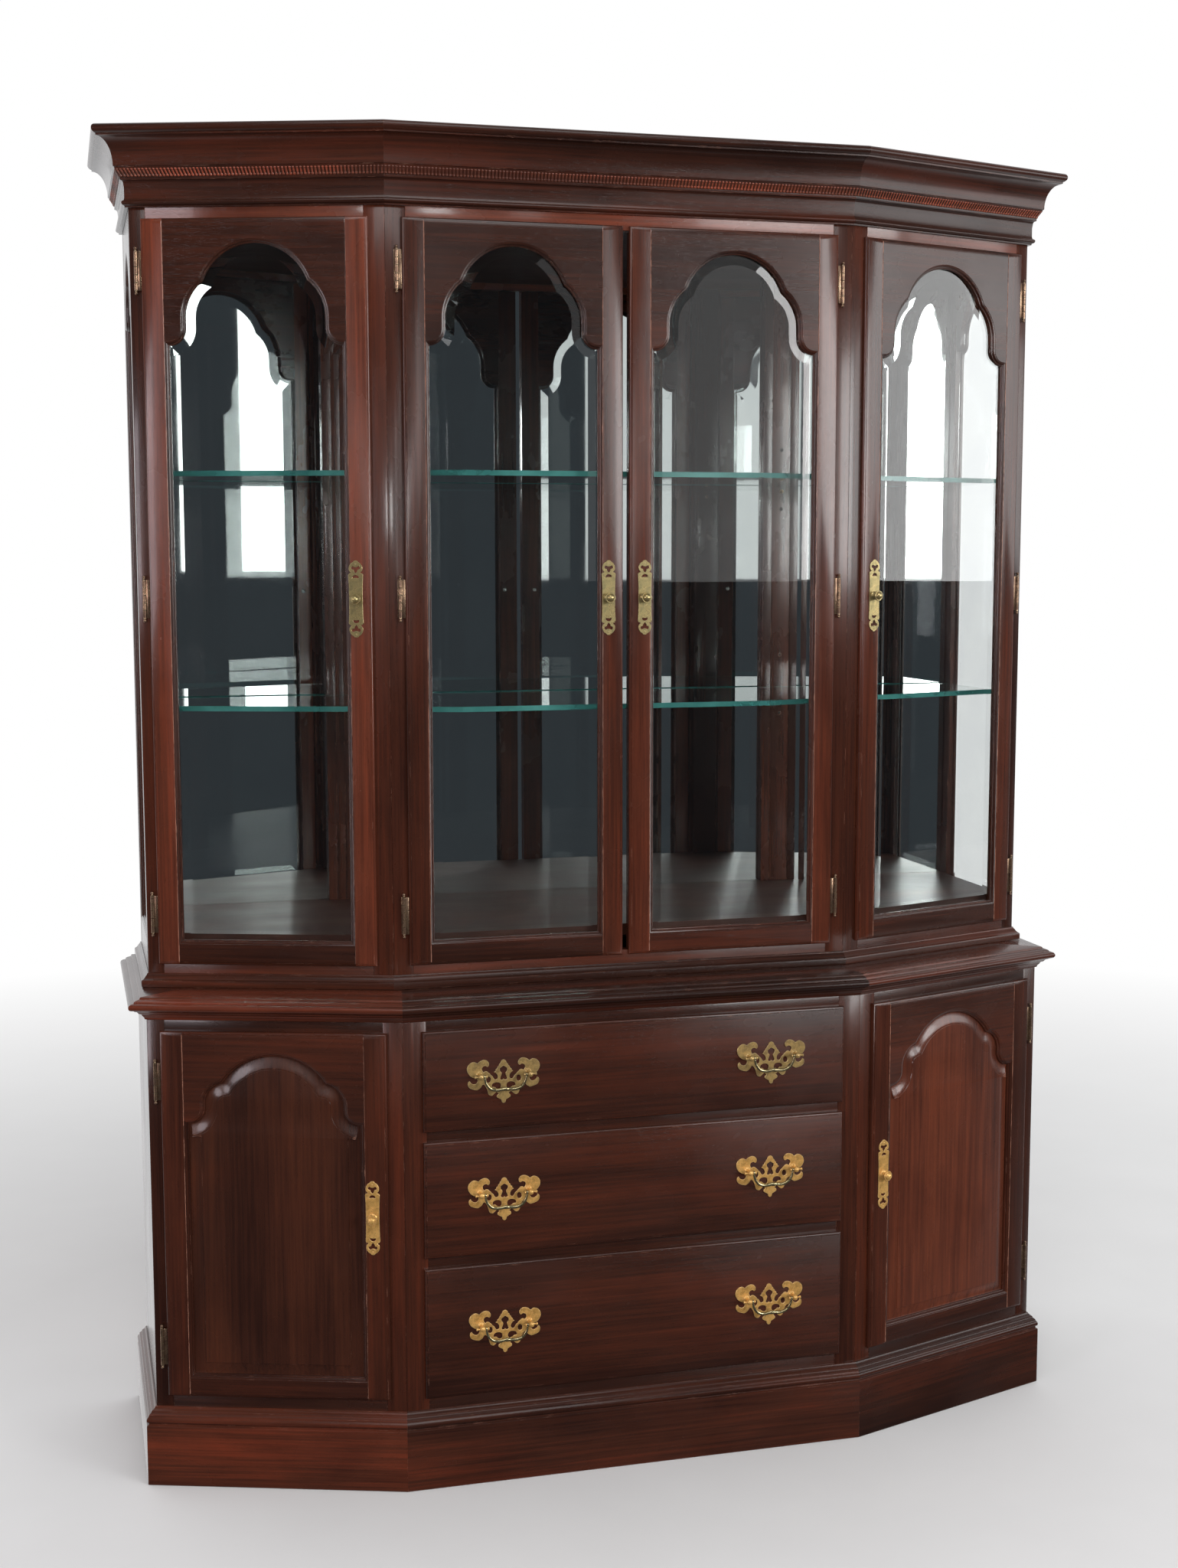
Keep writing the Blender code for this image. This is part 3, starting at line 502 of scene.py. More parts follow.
def smooth_line(points, steps=5, closed=False):
    """A Catmull-Rom line through points of any dimension."""
    vectors = [Vector(point) for point in points]
    count = len(vectors)
    spans = count if closed else count - 1
    result = []
    for i in range(spans):
        if closed:
            a, b, c, d = (vectors[(i + k) % count] for k in (-1, 0, 1, 2))
        else:
            a, b, c, d = (vectors[min(max(i + k, 0), count - 1)] for k in (-1, 0, 1, 2))
        for step in range(steps):
            t = step / steps
            point = 0.5 * (2 * b + (c - a) * t + (2 * a - 5 * b + 4 * c - d) * t * t
                           + (3 * b - a - 3 * c + d) * t ** 3)
            result.append(tuple(point))
    if not closed:
        result.append(tuple(vectors[-1]))
    return result


def bar(low, high, bevel=0.0008):
    """A box with eased edges."""
    bm = bmesh.new()
    bmesh.ops.create_cube(bm, size=1.0)
    bmesh.ops.scale(bm, vec=[h - l for l, h in zip(low, high)], verts=bm.verts)
    bmesh.ops.translate(bm, vec=[(l + h) / 2 for l, h in zip(low, high)], verts=bm.verts)
    if bevel:
        bmesh.ops.bevel(bm, geom=bm.edges[:], offset=bevel, segments=2, affect="EDGES", profile=0.5)
    return bm


def random_place():
    """Somewhere else in the wood, so that no two boards share a figure."""
    return Vector((SEED.uniform(0, 9), SEED.uniform(0, 9), SEED.uniform(0, 9)))


def grain_layers(bm):
    layers = bm.loops.layers
    return layers.float_vector.new("grain"), layers.float.new("tone_and_sheen"), layers.float_vector.new("pores")


def grain(bm, along="z", tone_and_sheen=None, choose=None):
    """Writes where each corner lies in its board, X along the grain, and which way its pores run."""
    offset = random_place()
    layer, shade, pores = grain_layers(bm)
    value = SEED.uniform(0.2, 0.8) if tone_and_sheen is None else tone_and_sheen
    for face in bm.faces:
        axis = choose(face) if choose else along
        run = Vector([float(axis == letter) for letter in "xyz"])
        for loop in face.loops:
            x, y, z = loop.vert.co
            place = (z, x, y) if axis == "z" else (x, z, y) if axis == "x" else (y, z, x)
            loop[layer] = Vector(place) + offset
            loop[shade] = value
            loop[pores] = run
    return bm


def joined(parts):
    """Several bmeshes as one."""
    whole = bmesh.new()
    for bm in parts:
        mesh = bpy.data.meshes.new("part")
        bm.to_mesh(mesh)
        bm.free()
        whole.from_mesh(mesh)
        bpy.data.meshes.remove(mesh)
    return whole


def piece(name, bm, material, matrix=None, body="root", stands_for=(), smooth=32.0):
    mesh = bpy.data.meshes.new(name)
    bm.to_mesh(mesh)
    bm.free()
    mesh.shade_smooth()
    mesh.set_sharp_from_angle(angle=math.radians(smooth))
    mesh.materials.append(material)
    made = bpy.data.objects.new(name, mesh)
    bpy.context.scene.collection.objects.link(made)
    if matrix is not None:
        made.matrix_world = matrix
    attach(made, body)
    if stands_for:
        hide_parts(*stands_for)
    return made


def dress(node, material, bevel=0.0):
    """A CAD node that stays, with a better material and eased edges."""
    made = NODES[node]
    for holder in made.material_slots:
        holder.material = material
    if bevel:
        modifier = made.modifiers.new("eased", "BEVEL")
        modifier.width = bevel
        modifier.segments = 2
        modifier.limit_method = "ANGLE"
        modifier.angle_limit = math.radians(50)


# ---------------------------------------------------------------- plan
def plan(body, out=0.0):
    setback = (body.half_width - CENTRE_HALF) * math.tan(CANT)
    end_x = body.half_width + out
    end_y = body.face_y + setback - out * (1 - math.sin(CANT)) / math.cos(CANT)
    corner_x = CENTRE_HALF + out * math.tan(CANT / 2)
    corner_y = body.face_y - out
    left = [(-end_x, Y_BACK), (-end_x, end_y), (-corner_x, corner_y)]
    return left + [(-x, y) for x, y in reversed(left)]


def face_length(body):
    return (body.half_width - CENTRE_HALF) / math.cos(CANT)


def face_matrix(body, side):
    corners = plan(body)
    start = {"left": corners[1], "centre": corners[2], "right": corners[3]}[side]
    turn = {"left": -CANT, "centre": 0.0, "right": CANT}[side]
    return Matrix.Translation((*start, 0.0)) @ Matrix.Rotation(turn, 4, "Z")


# ---------------------------------------------------------------- mouldings
def along_faces(body, section):
    """Five mitred lengths of a closed section round the front and ends, with grain along each."""
    parts = []
    lengths = [0.0]
    for near, far in zip(section, section[1:]):
        lengths.append(lengths[-1] + math.dist(near, far))
    for corner in range(5):
        bm = bmesh.new()
        layer, shade, pores = grain_layers(bm)
        rings = []
        for end in (corner, corner + 1):
            rings.append([bm.verts.new((*plan(body, out)[end], height)) for out, height in section])
        start, stop = Vector(plan(body)[corner]), Vector(plan(body)[corner + 1])
        heading = (stop - start).normalized()
        offset = random_place()
        tone_and_sheen = SEED.uniform(0.3, 0.7)
        where = {}
        for ring in rings:
            for vertex, length in zip(ring, lengths):
                where[vertex] = (Vector(vertex.co.xy) - start).dot(heading), length
        count = len(section)
        faces = []
        for i in range(count):
            j = (i + 1) % count
            faces.append(bm.faces.new((rings[0][i], rings[0][j], rings[1][j], rings[1][i])))
        faces.append(bm.faces.new(rings[0]))
        faces.append(bm.faces.new(rings[1]))
        for face in faces:
            for loop in face.loops:
                along, across = where[loop.vert]
                loop[layer] = Vector((along, across, 0.0)) + offset
                loop[shade] = tone_and_sheen
                loop[pores] = heading.to_3d()
        bmesh.ops.recalc_face_normals(bm, faces=bm.faces)
        parts.append(bm)
    return joined(parts)


def section(points, inner):
    return [(x * mm, z * mm) for x, z in points] + list(inner)


def rounded(centre, radius, start, end, steps=8):
    return arc(centre, radius, math.radians(start), math.radians(end), steps)


def crown():
    nose = rounded((45.0, 2042.6), (6.4, 6.4), 90, -62, 12)
    cove = [(44.4 - 23.2 * math.cos(a), 1994.6 + 38.4 * math.sin(a))
            for a in (math.radians(90 - 6 * i) for i in range(16))]
    small_cove = [(11.0 - 4.4 * math.sin(a), 1970.8 + 4.4 * math.cos(a))
                  for a in (math.radians(15 * i) for i in range(7))]
    astragal = rounded((6.2, 1943.0), (4.0, 3.6), 82, -84, 10)
    points = [(5.0, 2049.0)] + nose + [(47.2, 2036.2), (45.2, 2035.6), (45.0, 2033.4)] + cove
    points += [(20.9, 1993.2), (19.3, 1992.4), (18.9, 1990.6), (11.4, 1979.3), (11.4, 1976.2), (11.0, 1975.4)]
    points += small_cove + [(5.6, 1964.0), (5.6, 1950.4), (6.0, 1948.2)]
    points += astragal + [(5.4, 1938.4), (5.2, 1936.6)]
    outline = section(points, [(GAP, 1.9366), (GAP, 2.0490)])
    piece("crown_moulding_shaped", along_faces(HUTCH, outline), MOULDING_WOOD, stands_for=("crown_moulding",))
    bead_band()


def bead_band():
    """Upright reeds on the crown's slanted band, each ending in a bead."""
    top, bottom = (18.9 * mm, 1.9906), (11.4 * mm, 1.9793)
    pitch = 0.0053
    whole = bmesh.new()
    for corner in range(5):
        ends = []
        for out, height in (top, bottom):
            ends.append([Vector((*plan(HUTCH, out)[corner + k], height)) for k in (0, 1)])
        length = (ends[1][1] - ends[1][0]).length
        count = max(1, int(length / pitch))
        for i in range(count):
            t = (i + 0.5) / count
            high = ends[0][0].lerp(ends[0][1], t)
            low = ends[1][0].lerp(ends[1][1], t)
            if corner in (0, 4) and max(high.y, low.y) > Y_BACK - 0.003:
                continue
            reed(whole, high, low, (ends[1][1] - ends[1][0]).normalized())
    bmesh.ops.recalc_face_normals(whole, faces=whole.faces)
    grain(whole, "x", 0.6)
    piece("crown_bead_band", whole, BEAD_HIGHLIGHT_WOOD, smooth=60.0)


def reed(bm, high, low, along):
    down = low - high
    outward = along.cross(down).normalized()
    if outward.z > 0.9 or outward.dot(Vector((0, 0, 1))) > 0:
        outward = -outward
    if outward.dot(Vector((high.x, high.y - Y_BACK, 0.0))) < 0:
        outward = -outward
    profile = [(0.02, 0.0), (0.06, 0.8), (0.14, 1.0), (0.20, 0.55), (0.30, 0.62), (0.66, 0.70), (0.72, 0.62),
               (0.80, 1.15), (0.90, 1.35), (0.98, 0.9), (1.02, 0.0)]
    half, rise = 0.00205, 0.00125
    rings = []
    for share, size in profile:
        base = high + down * share
        ring = []
        for angle in (0, 45, 90, 135, 180):
            a = math.radians(angle)
            wide = half * min(1.0, max(size, 0.25))
            lift = rise * size * math.sin(a) - 0.0001
            ring.append(bm.verts.new(base + along * (wide * math.cos(a)) + outward * lift))
        rings.append(ring)
    for near, far in zip(rings, rings[1:]):
        for i in range(4):
            bm.faces.new((near[i], near[i + 1], far[i + 1], far[i]))
        bm.faces.new((near[0], far[0], far[4], near[4]))
    bm.faces.new(rings[0])
    bm.faces.new(rings[-1])


def waist():
    points = [(0.4, 787.0), (1.5, 786.7), (2.2, 785.8), (2.4, 784.6), (3.4, 783.8), (4.6, 782.2),
              (6.4, 779.6), (8.2, 777.9), (9.6, 777.2), (10.6, 776.6), (11.2, 775.2), (11.3, 772.0),
              (11.2, 768.0), (10.6, 766.4)]
    piece("waist_moulding_shaped", along_faces(HUTCH, section(points, [(GAP, 0.7664), (GAP, 0.7870)])),
          MOULDING_WOOD, stands_for=("waist_moulding",))


def buffet():
    """The moulded edge of the buffet top, and its flat board."""
    points = [(8.0, 766.0), (9.2, 765.5), (9.8, 764.4), (10.2, 763.2), (11.6, 762.7), (15.0, 762.0),
              (17.6, 761.0), (18.6, 760.2), (18.9, 759.2), (19.2, 758.4), (20.6, 758.1), (23.2, 757.7),
              (25.4, 756.7), (26.9, 755.0), (27.5, 752.9), (27.1, 750.7), (25.8, 748.8), (23.6, 747.6),
              (21.0, 747.2), (19.6, 746.9), (18.6, 745.9), (17.4, 745.1), (15.4, 744.6), (13.8, 743.6),
              (12.6, 742.0), (11.2, 740.6), (8.9, 739.8), (7.6, 739.0), (6.6, 737.0), (5.0, 735.0),
              (3.6, 733.6), (3.0, 731.6), (2.2, 730.4)]
    inner = [(-0.060, 0.7304), (-0.060, 0.7660)]
    edge = along_faces(BASE, section(points, inner))
    corners = plan(BASE, -0.0602)
    corners[0] = (corners[0][0], Y_BACK)
    corners[5] = (corners[5][0], Y_BACK)
    board = loft([[(*corner, z) for corner in corners] for z in (0.7304, 0.7660)])
    grain(board, "x", 0.5)
    piece("buffet_top_shaped", joined([edge, board]), MOULDING_WOOD, stands_for=("buffet_top",))


def base_moulding():
    points = [(1.2, 122.0), (2.4, 121.5), (3.0, 120.2), (3.8, 118.8), (5.6, 117.4), (7.6, 116.5),
              (8.6, 115.6), (8.9, 114.2), (9.6, 113.2), (11.4, 112.2), (12.8, 111.0), (13.2, 109.6),
              (13.6, 108.4), (15.0, 107.2), (16.2, 105.6), (16.5, 103.6), (16.2, 101.6), (15.2, 100.0),
              (13.7, 99.0), (13.2, 97.6), (13.6, 96.2), (15.2, 95.4), (16.3, 94.6), (16.5, 93.4),
              (16.5, 0.8), (15.8, 0.0)]
    inner = [(-BOARD, 0.0), (-BOARD, PLINTH_TOP), (GAP, PLINTH_TOP), (GAP, 0.1220)]
    piece("plinth_shaped", along_faces(BASE, section(points, inner)), MOULDING_WOOD, stands_for=("plinth",))


# ---------------------------------------------------------------- face frames
def upright(corner_a, corner_b, low, high):
    return loft([[(x, y, z) for x, y in corner_a + corner_b] for z in (low, high)])


def eased(bm, offset=0.0007):
    sharp = [edge for edge in bm.edges if edge.is_manifold and edge.calc_face_angle(0.0) > math.radians(30)]
    bmesh.ops.bevel(bm, geom=sharp, offset=offset, segments=2, affect="EDGES", profile=0.5)
    return bm


def stile_at(body, corner, other, width, low, high):
    """A stile of the face frame, mitred at a corner of the plan and reaching width towards another."""
    outer = [Vector(point) for point in plan(body)]
    inner = [Vector(point) for point in plan(body, -BOARD)]
    heading = (outer[other] - outer[corner]).normalized()
    normal = Vector((-heading.y, heading.x))
    if normal.dot(inner[corner] - outer[corner]) < 0:
        normal = -normal
    end = outer[corner] + heading * width
    outline = [outer[corner], end, end + normal * BOARD, inner[corner]]
    bm = loft([[(*point, z) for point in outline] for z in (low, high)])
    eased(bm)
    return grain(bm, "z", 0.60)


def six_stiles(body, widths, low, high):
    """Both stiles of each front face, from left to right."""
    outer, inner, centre = widths
    places = ((1, 2, outer), (2, 1, inner), (2, 3, centre), (3, 2, centre), (3, 4, inner), (4, 3, outer))
    return [stile_at(body, corner, other, width, low, high) for corner, other, width in places]


def rail_at(body, side, start, end, low, high, tone_and_sheen=0.5):
    bm = bar((start + 0.00012, 0.0, low), (end - 0.00012, BOARD, high), 0.0005)
    grain(bm, "x", tone_and_sheen)
    bmesh.ops.transform(bm, matrix=face_matrix(body, side), verts=bm.verts)
    return bm


def hutch_frame():
    inset = COVER
    low, high = BUFFET_TOP + GAP, HUTCH_TOP
    door_low, door_high = UPPER_DOOR_Z[0] + inset, UPPER_DOOR_Z[1] - inset
    length = face_length(HUTCH)
    outer = UPPER_MARGIN + inset
    inner = length - UPPER_MARGIN - UPPER_DOOR_WIDTH + inset
    centre = CENTRE_HALF - UPPER_DOOR_WIDTH - MEETING_GAP / 2 + inset
    parts = six_stiles(HUTCH, (outer, inner, centre), low, high)
    for side, start, end in (("left", outer, length - inner), ("centre", centre, 2 * CENTRE_HALF - centre),
                             ("right", inner, length - outer)):
        parts.append(rail_at(HUTCH, side, start, end, low, door_low, 0.7))
        parts.append(rail_at(HUTCH, side, start, end, door_high, high, 0.95))
    for sign in (-1, 1):
        parts.append(corner_post(sign))
    piece("hutch_face_frame_boards", joined(parts), FRAME_WOOD, stands_for=("hutch_face_frame",))


def corner_post(sign):
    near = plan(HUTCH, -BOARD - 0.0001)
    corner = Vector(near[3] if sign > 0 else near[2])
    along = Matrix.Rotation(sign * CANT, 2) @ Vector((sign, 0.0))
    half, depth = 0.0215, 0.018
    middle = Matrix.Rotation(sign * CANT / 2, 2) @ Vector((0.0, 1.0))
    front = [corner - Vector((sign * half, 0.0)), corner, corner + along * half]
    outline = front + [front[2] + middle * depth, front[0] + middle * depth]
    bm = loft([[(*point, z) for point in outline] for z in (HUTCH_FLOOR + GAP, HUTCH_CEILING - GAP)])
    return grain(eased(bm, 0.001), "z")


def base_frame():
    inset = COVER
    low, high = PLINTH_TOP + GAP, BASE_TOP - GAP
    length = face_length(BASE)
    outer = LOWER_MARGIN + inset
    inner = length - LOWER_MARGIN - LOWER_DOOR_WIDTH + inset
    centre = CENTRE_HALF - DRAWER_HALF_WIDTH + inset
    parts = six_stiles(BASE, (outer, inner, centre), low, high)
    for side, start, end in (("left", outer, length - inner), ("right", inner, length - outer)):
        parts.append(rail_at(BASE, side, start, end, low, LOWER_DOOR_Z[0] + inset))
        parts.append(rail_at(BASE, side, start, end, LOWER_DOOR_Z[1] - inset, high))
    openings = [z for bottom, top in sorted(DRAWER_Z.values()) for z in (bottom + inset, top - inset)]
    edges = [low] + openings + [high]
    for bottom, top in zip(edges[::2], edges[1::2]):
        parts.append(rail_at(BASE, "centre", centre, 2 * CENTRE_HALF - centre, bottom, top))
    piece("base_face_frame_boards", joined(parts), FRAME_WOOD, stands_for=("base_face_frame",))


# ---------------------------------------------------------------- framed doors and ends
LIP_EDGE = [(0.0, -0.0004), (0.0, -0.0036), (0.0003, -0.0047), (0.0010, -0.0056), (0.0020, -0.0062),
            (0.0031, -0.0064), (0.0036, -0.0066), (0.0038, -0.0072), (0.0042, -0.0078), (0.0048, -0.0080)]
STICKING = [(0.0000, 0.0), (0.0000, -0.0022), (0.0004, -0.0032), (0.0012, -0.0038), (0.0020, -0.0039),
            (0.0024, -0.0043), (0.0027, -0.0056), (0.0036, -0.0067), (0.0048, -0.0073), (0.0058, -0.0074),
            (0.0062, -0.0076), (0.0066, -0.0080)]


def lip_stack(width, height, left, right):
    """The outside of a lipped door or drawer front; left and right are the insert's insets."""
    outer = rectangle(0.0, width, 0.0, height)
    insert = rectangle(left, width - right, LIP, height - LIP)
    stack = [(insert, INSERT), (insert, -0.0003)]
    return stack + [(grown(outer, -inset), y) for inset, y in LIP_EDGE]


def opening_stack(opening, front, depth):
    wide = grown(opening, REBATE)
    stack = [(wide, depth), (wide, front + LIP)]
    return stack + [(grown(opening, out), front + LIP + y) for out, y in STICKING]


def cut_at(bm, x, keep_left, front):
    """The part of a solid on one side of x, closed, with its front edge eased."""
    part = bm.copy()
    side = 1 if keep_left else -1
    geometry = part.verts[:] + part.edges[:] + part.faces[:]
    bmesh.ops.bisect_plane(part, geom=geometry, plane_co=(x, 0, 0), plane_no=(side, 0, 0), clear_outer=True)
    open_edges = [edge for edge in part.edges if edge.is_boundary]
    bmesh.ops.contextual_create(part, geom=open_edges)
    bmesh.ops.recalc_face_normals(part, faces=part.faces)
    rim = [edge for edge in part.edges if all(abs(v.co.x - x) < 1e-5 and abs(v.co.y - front) < 1e-5
                                             for v in edge.verts)]
    eased = bmesh.ops.bevel(part, geom=rim, offset=0.00055, segments=1, affect="EDGES", profile=0.5)
    joint = part.loops.layers.float.new("joint")
    for face in eased["faces"]:
        for loop in face.loops:
            loop[joint] = 1.0
    return part


def framed(outside, opening, width, joint, front, rails, tones_and_sheen):
    """A frame of two stiles and two rails with its sticking. rails says how high the rails reach
    and start; tones are those of the left stile, the right stile and the rails, and their high values are
    painted sheen."""
    rail_low, rail_high = rails
    whole = slab([outside, opening])
    seam = 0.00008
    left = grain(cut_at(whole, joint - seam, True, front), "z", tones_and_sheen[0])
    right = grain(cut_at(whole, width - joint + seam, False, front), "z", tones_and_sheen[1])
    middle = cut_at(whole, joint + seam, False, front)
    rest = cut_at(middle, width - joint - seam, True, front)

    def axis(face):
        centre = face.calc_center_median()
        return "x" if centre.z > rail_high or centre.z < rail_low else "z"

    grain(rest, tone_and_sheen=tones_and_sheen[2], choose=axis)
    middle.free()
    whole.free()
    return joined([left, right, rest])


def door_matrix(body, side, left_edge, bottom):
    return face_matrix(body, side) @ Matrix.Translation((left_edge, 0.0, bottom))


def bevelled_pane(opening, near):
    """Plate glass with a wide polished bevel on its front."""
    edge = grown(opening, REBATE - GAP)
    stack = [(edge, near + PANE), (edge, near + 0.0014)]
    for inset in (0.2, 4.0, 8.0, 12.0, 16.0):
        depth = 0.0013 * (1 - inset / 16.0)
        stack.append((grown(opening, REBATE - GAP - (inset + 4.0) * mm), near + depth))
    return slab([stack])


def glass_door(label, side, left_edge, hinge_left, meeting, tones_and_sheen):
    name = f"glass_door_{label}"
    body = f"{label}_door"
    bottom, top = UPPER_DOOR_Z
    width, height = UPPER_DOOR_WIDTH, top - bottom
    place = door_matrix(HUTCH, side, left_edge, bottom)
    half = width / 2 - STILE_WIDTH
    opening = arched_opening(width / 2, half, BOTTOM_RAIL, height - TOP_RAIL, TALL_ARCH)
    free = 0.0005 if meeting else LIP
    outside = lip_stack(width, height, LIP if hinge_left else free, free if hinge_left else LIP)
    shoulder = height - TOP_RAIL - half * TALL_ARCH.rise
    whole = framed(outside, opening_stack(opening, -LIP, INSERT), width, JOINT, -LIP,
                   (BOTTOM_RAIL, shoulder), tones_and_sheen)
    piece(name + "_joinery", whole, DOOR_WOOD, place, body, stands_for=(name + "_frame",))
    piece(name + "_bevelled_glass", bevelled_pane(opening, 0.0002), PANE_GLASS, place, body,
          (name + "_pane",), smooth=3.0)
    knob_x = width - KNOB_INSET if hinge_left else KNOB_INSET
    knob_and_plate(name, body, place @ Matrix.Translation((knob_x, -LIP - GAP, UPPER_KNOB_Z - bottom)),
                   OLD_BRASS)
    hinges(HUTCH, side, left_edge, width, hinge_left, UPPER_HINGES, name, body)


def raised_panel(opening):
    """A panel with a sloping margin and a raised field."""
    rings = [(REBATE - GAP, 0.0070), (REBATE - GAP, 0.0002), (-0.0010, 0.0), (-0.0030, -0.0003),
             (-0.0080, -0.0016), (-0.0130, -0.0032), (-0.0170, -0.0044), (-0.0183, -0.0046),
             (-0.0187, -0.0056), (-0.0192, -0.0062), (-0.0200, -0.0064)]
    return slab([[(grown(opening, out), y) for out, y in rings]])


def panel_door(label, side, left_edge, hinge_left):
    name = f"panel_door_{label}"
    body = f"{label}_cupboard_door"
    bottom, top = LOWER_DOOR_Z
    width, height = LOWER_DOOR_WIDTH, top - bottom
    place = door_matrix(BASE, side, left_edge, bottom)
    half = width / 2 - STILE_WIDTH - 0.002
    low = BOTTOM_RAIL - 0.0025
    opening = arched_opening(width / 2, half, low, height - TOP_RAIL, FLAT_ARCH)
    shoulder = height - TOP_RAIL - half * FLAT_ARCH.rise
    outside = lip_stack(width, height, LIP, LIP)
    whole = framed(outside, opening_stack(opening, -LIP, INSERT), width, JOINT + 0.002, -LIP, (low, shoulder),
                   (0.68, 0.60, 0.58))
    piece(name + "_joinery", whole, DOOR_WOOD, place, body, stands_for=(name + "_frame",))
    piece(name + "_raised", grain(raised_panel(opening), "z"), PANEL_WOOD, place, body,
          stands_for=(name + "_panel",))
    knob_x = width - KNOB_INSET if hinge_left else KNOB_INSET
    knob_and_plate(name, body, place @ Matrix.Translation((knob_x, -LIP - GAP, LOWER_KNOB_Z - bottom)),
                   PULL_BRASS)
    hinges(BASE, side, left_edge, width, hinge_left, LOWER_HINGES, name, body)


def hutch_end(side, sign):
    name = f"hutch_end_{side}"
    front_y = plan(HUTCH)[1][1]
    depth = Y_BACK - front_y - GAP
    low, high = BUFFET_TOP + GAP, HUTCH_TOP
    turn = Matrix.Rotation(sign * math.pi / 2, 4, "Z")
    corner_y = front_y + GAP if sign > 0 else Y_BACK
    place = Matrix.Translation((sign * HUTCH.half_width, corner_y, 0.0)) @ turn
    half = (depth + GAP) / 2 - END_STILE_WIDTH
    opening = arched_opening(depth / 2, half, UPPER_DOOR_Z[0] + BOTTOM_RAIL,
                             UPPER_DOOR_Z[1] - TOP_RAIL, TALL_ARCH)
    outer = rectangle(0.0, depth, low, high)
    outside = [(outer, BOARD), (outer, 0.0006), (grown(outer, -0.0006), 0.0)]
    shoulder = UPPER_DOOR_Z[1] - TOP_RAIL - half * TALL_ARCH.rise
    whole = framed(outside, opening_stack(opening, 0.0, BOARD), depth, END_JOINT, 0.0,
                   (UPPER_DOOR_Z[0] + BOTTOM_RAIL, shoulder), (0.5, 0.5, 0.45))
    piece(name + "_joinery", whole, FRAME_WOOD, place, stands_for=(f"hutch_end_frame_{side}",))
    piece(name + "_bevelled_glass", bevelled_pane(opening, LIP + 0.0002), PANE_GLASS, place, "root",
          (f"hutch_end_pane_{side}",), smooth=3.0)


def doors():
    length = face_length(HUTCH)
    inner_left = CENTRE_HALF - MEETING_GAP / 2 - UPPER_DOOR_WIDTH
    # The outer-left and inner-right doors' stiles get high tones: painted sheen on those stiles.
    glass_door("outer_left", "left", UPPER_MARGIN, True, False, (0.90, 1.0, 0.52))
    glass_door("inner_left", "centre", inner_left, True, True, (0.55, 0.66, 0.5))
    glass_door("inner_right", "centre", CENTRE_HALF + MEETING_GAP / 2, False, True, (0.80, 0.80, 0.55))
    outer_right = length - UPPER_MARGIN - UPPER_DOOR_WIDTH
    glass_door("outer_right", "right", outer_right, False, False, (0.6, 0.7, 0.5))
    panel_door("left", "left", LOWER_MARGIN, True)
    panel_door("right", "right", face_length(BASE) - LOWER_MARGIN - LOWER_DOOR_WIDTH, False)
    hutch_end("left", -1)
    hutch_end("right", 1)


# ---------------------------------------------------------------- drawers
def drawer_front(label, bottom, top):
    width, height = 2 * DRAWER_HALF_WIDTH, top - bottom
    place = face_matrix(BASE, "centre") @ Matrix.Translation((CENTRE_HALF - DRAWER_HALF_WIDTH, 0.0, bottom))
    name = f"drawer_{label}"
    bm = grain(slab([lip_stack(width, height, LIP, LIP)]), "x", 0.55)
    piece(name + "_moulded_front", bm, DOOR_WOOD, place, f"{label}_drawer", stands_for=(name + "_front",))
    centre_z = (bottom + top) / 2 - 0.003
    for side, sign in (("left", -1), ("right", 1)):
        at = Matrix.Translation((sign * PULL_X, BASE.face_y - LIP - GAP, centre_z))
        pull(name, side, at, f"{label}_drawer")
        bail(name, side, at, f"{label}_bail_{side}")


# ---------------------------------------------------------------- brass
BATWING = [
    [(0, -35.5), (2.6, -34), (3.4, -31), (3.8, -29.8)],
    [(3.8, -29.8), (7.4, -27.9), (10.6, -25.6), (10.2, -22.6), (7.5, -20.5)],
    [(7.5, -20.5), (11, -17.6), (14.2, -19.8)],
    [(14.2, -19.8), (18.4, -22.9), (23, -21), (24.8, -16), (25.5, -13)],
    [(25.5, -13), (29, -6.5), (32.5, -5), (35.8, -9.6), (40.9, -12.9)],
    [(40.9, -12.9), (46.9, -11.6), (52.8, -8.9), (55.4, -4.2), (54.7, 0.4), (52.2, 1.9)],
    [(52.2, 1.9), (50.5, -1.1), (46.4, -3.5), (42.4, -2.4), (40.2, 1.4), (41.8, 4.6), (47.8, 6.9)],
    [(47.8, 6.9), (52.8, 10.8), (56.4, 17.5), (55.8, 24.2), (51.5, 29.2), (45.6, 30.9), (40.4, 28.4)],
    [(40.4, 28.4), (36.5, 31.6), (31, 33.3), (26, 32.2), (22.6, 27.8), (23.2, 23.6), (25.4, 22.2)],
    [(25.4, 22.2), (28.4, 24), (32.2, 22.6), (33.6, 19.4), (32.6, 16), (31.2, 14)],
    [(31.2, 14), (28.5, 15.6), (25.4, 15), (22.5, 12.4)],
    [(22.5, 12.4), (21, 11.2), (19.6, 8.8)],
    [(19.6, 8.8), (17.4, 7.6), (15.8, 4.8)],
    [(15.8, 4.8), (13.2, 1.8), (9.8, 3.2), (9.2, 7), (11.2, 11.2), (14.9, 13.7)],
    [(14.9, 13.7), (12.8, 15.2), (12.2, 17.6)],
    [(12.2, 17.6), (10.2, 18.8), (9.4, 21.4)],
    [(9.4, 21.4), (7.6, 22.8), (6.8, 25.4)],
    [(6.8, 25.4), (5, 26.8), (4.2, 29.4)],
    [(4.2, 29.4), (2.2, 31.4), (0, 32)],
]
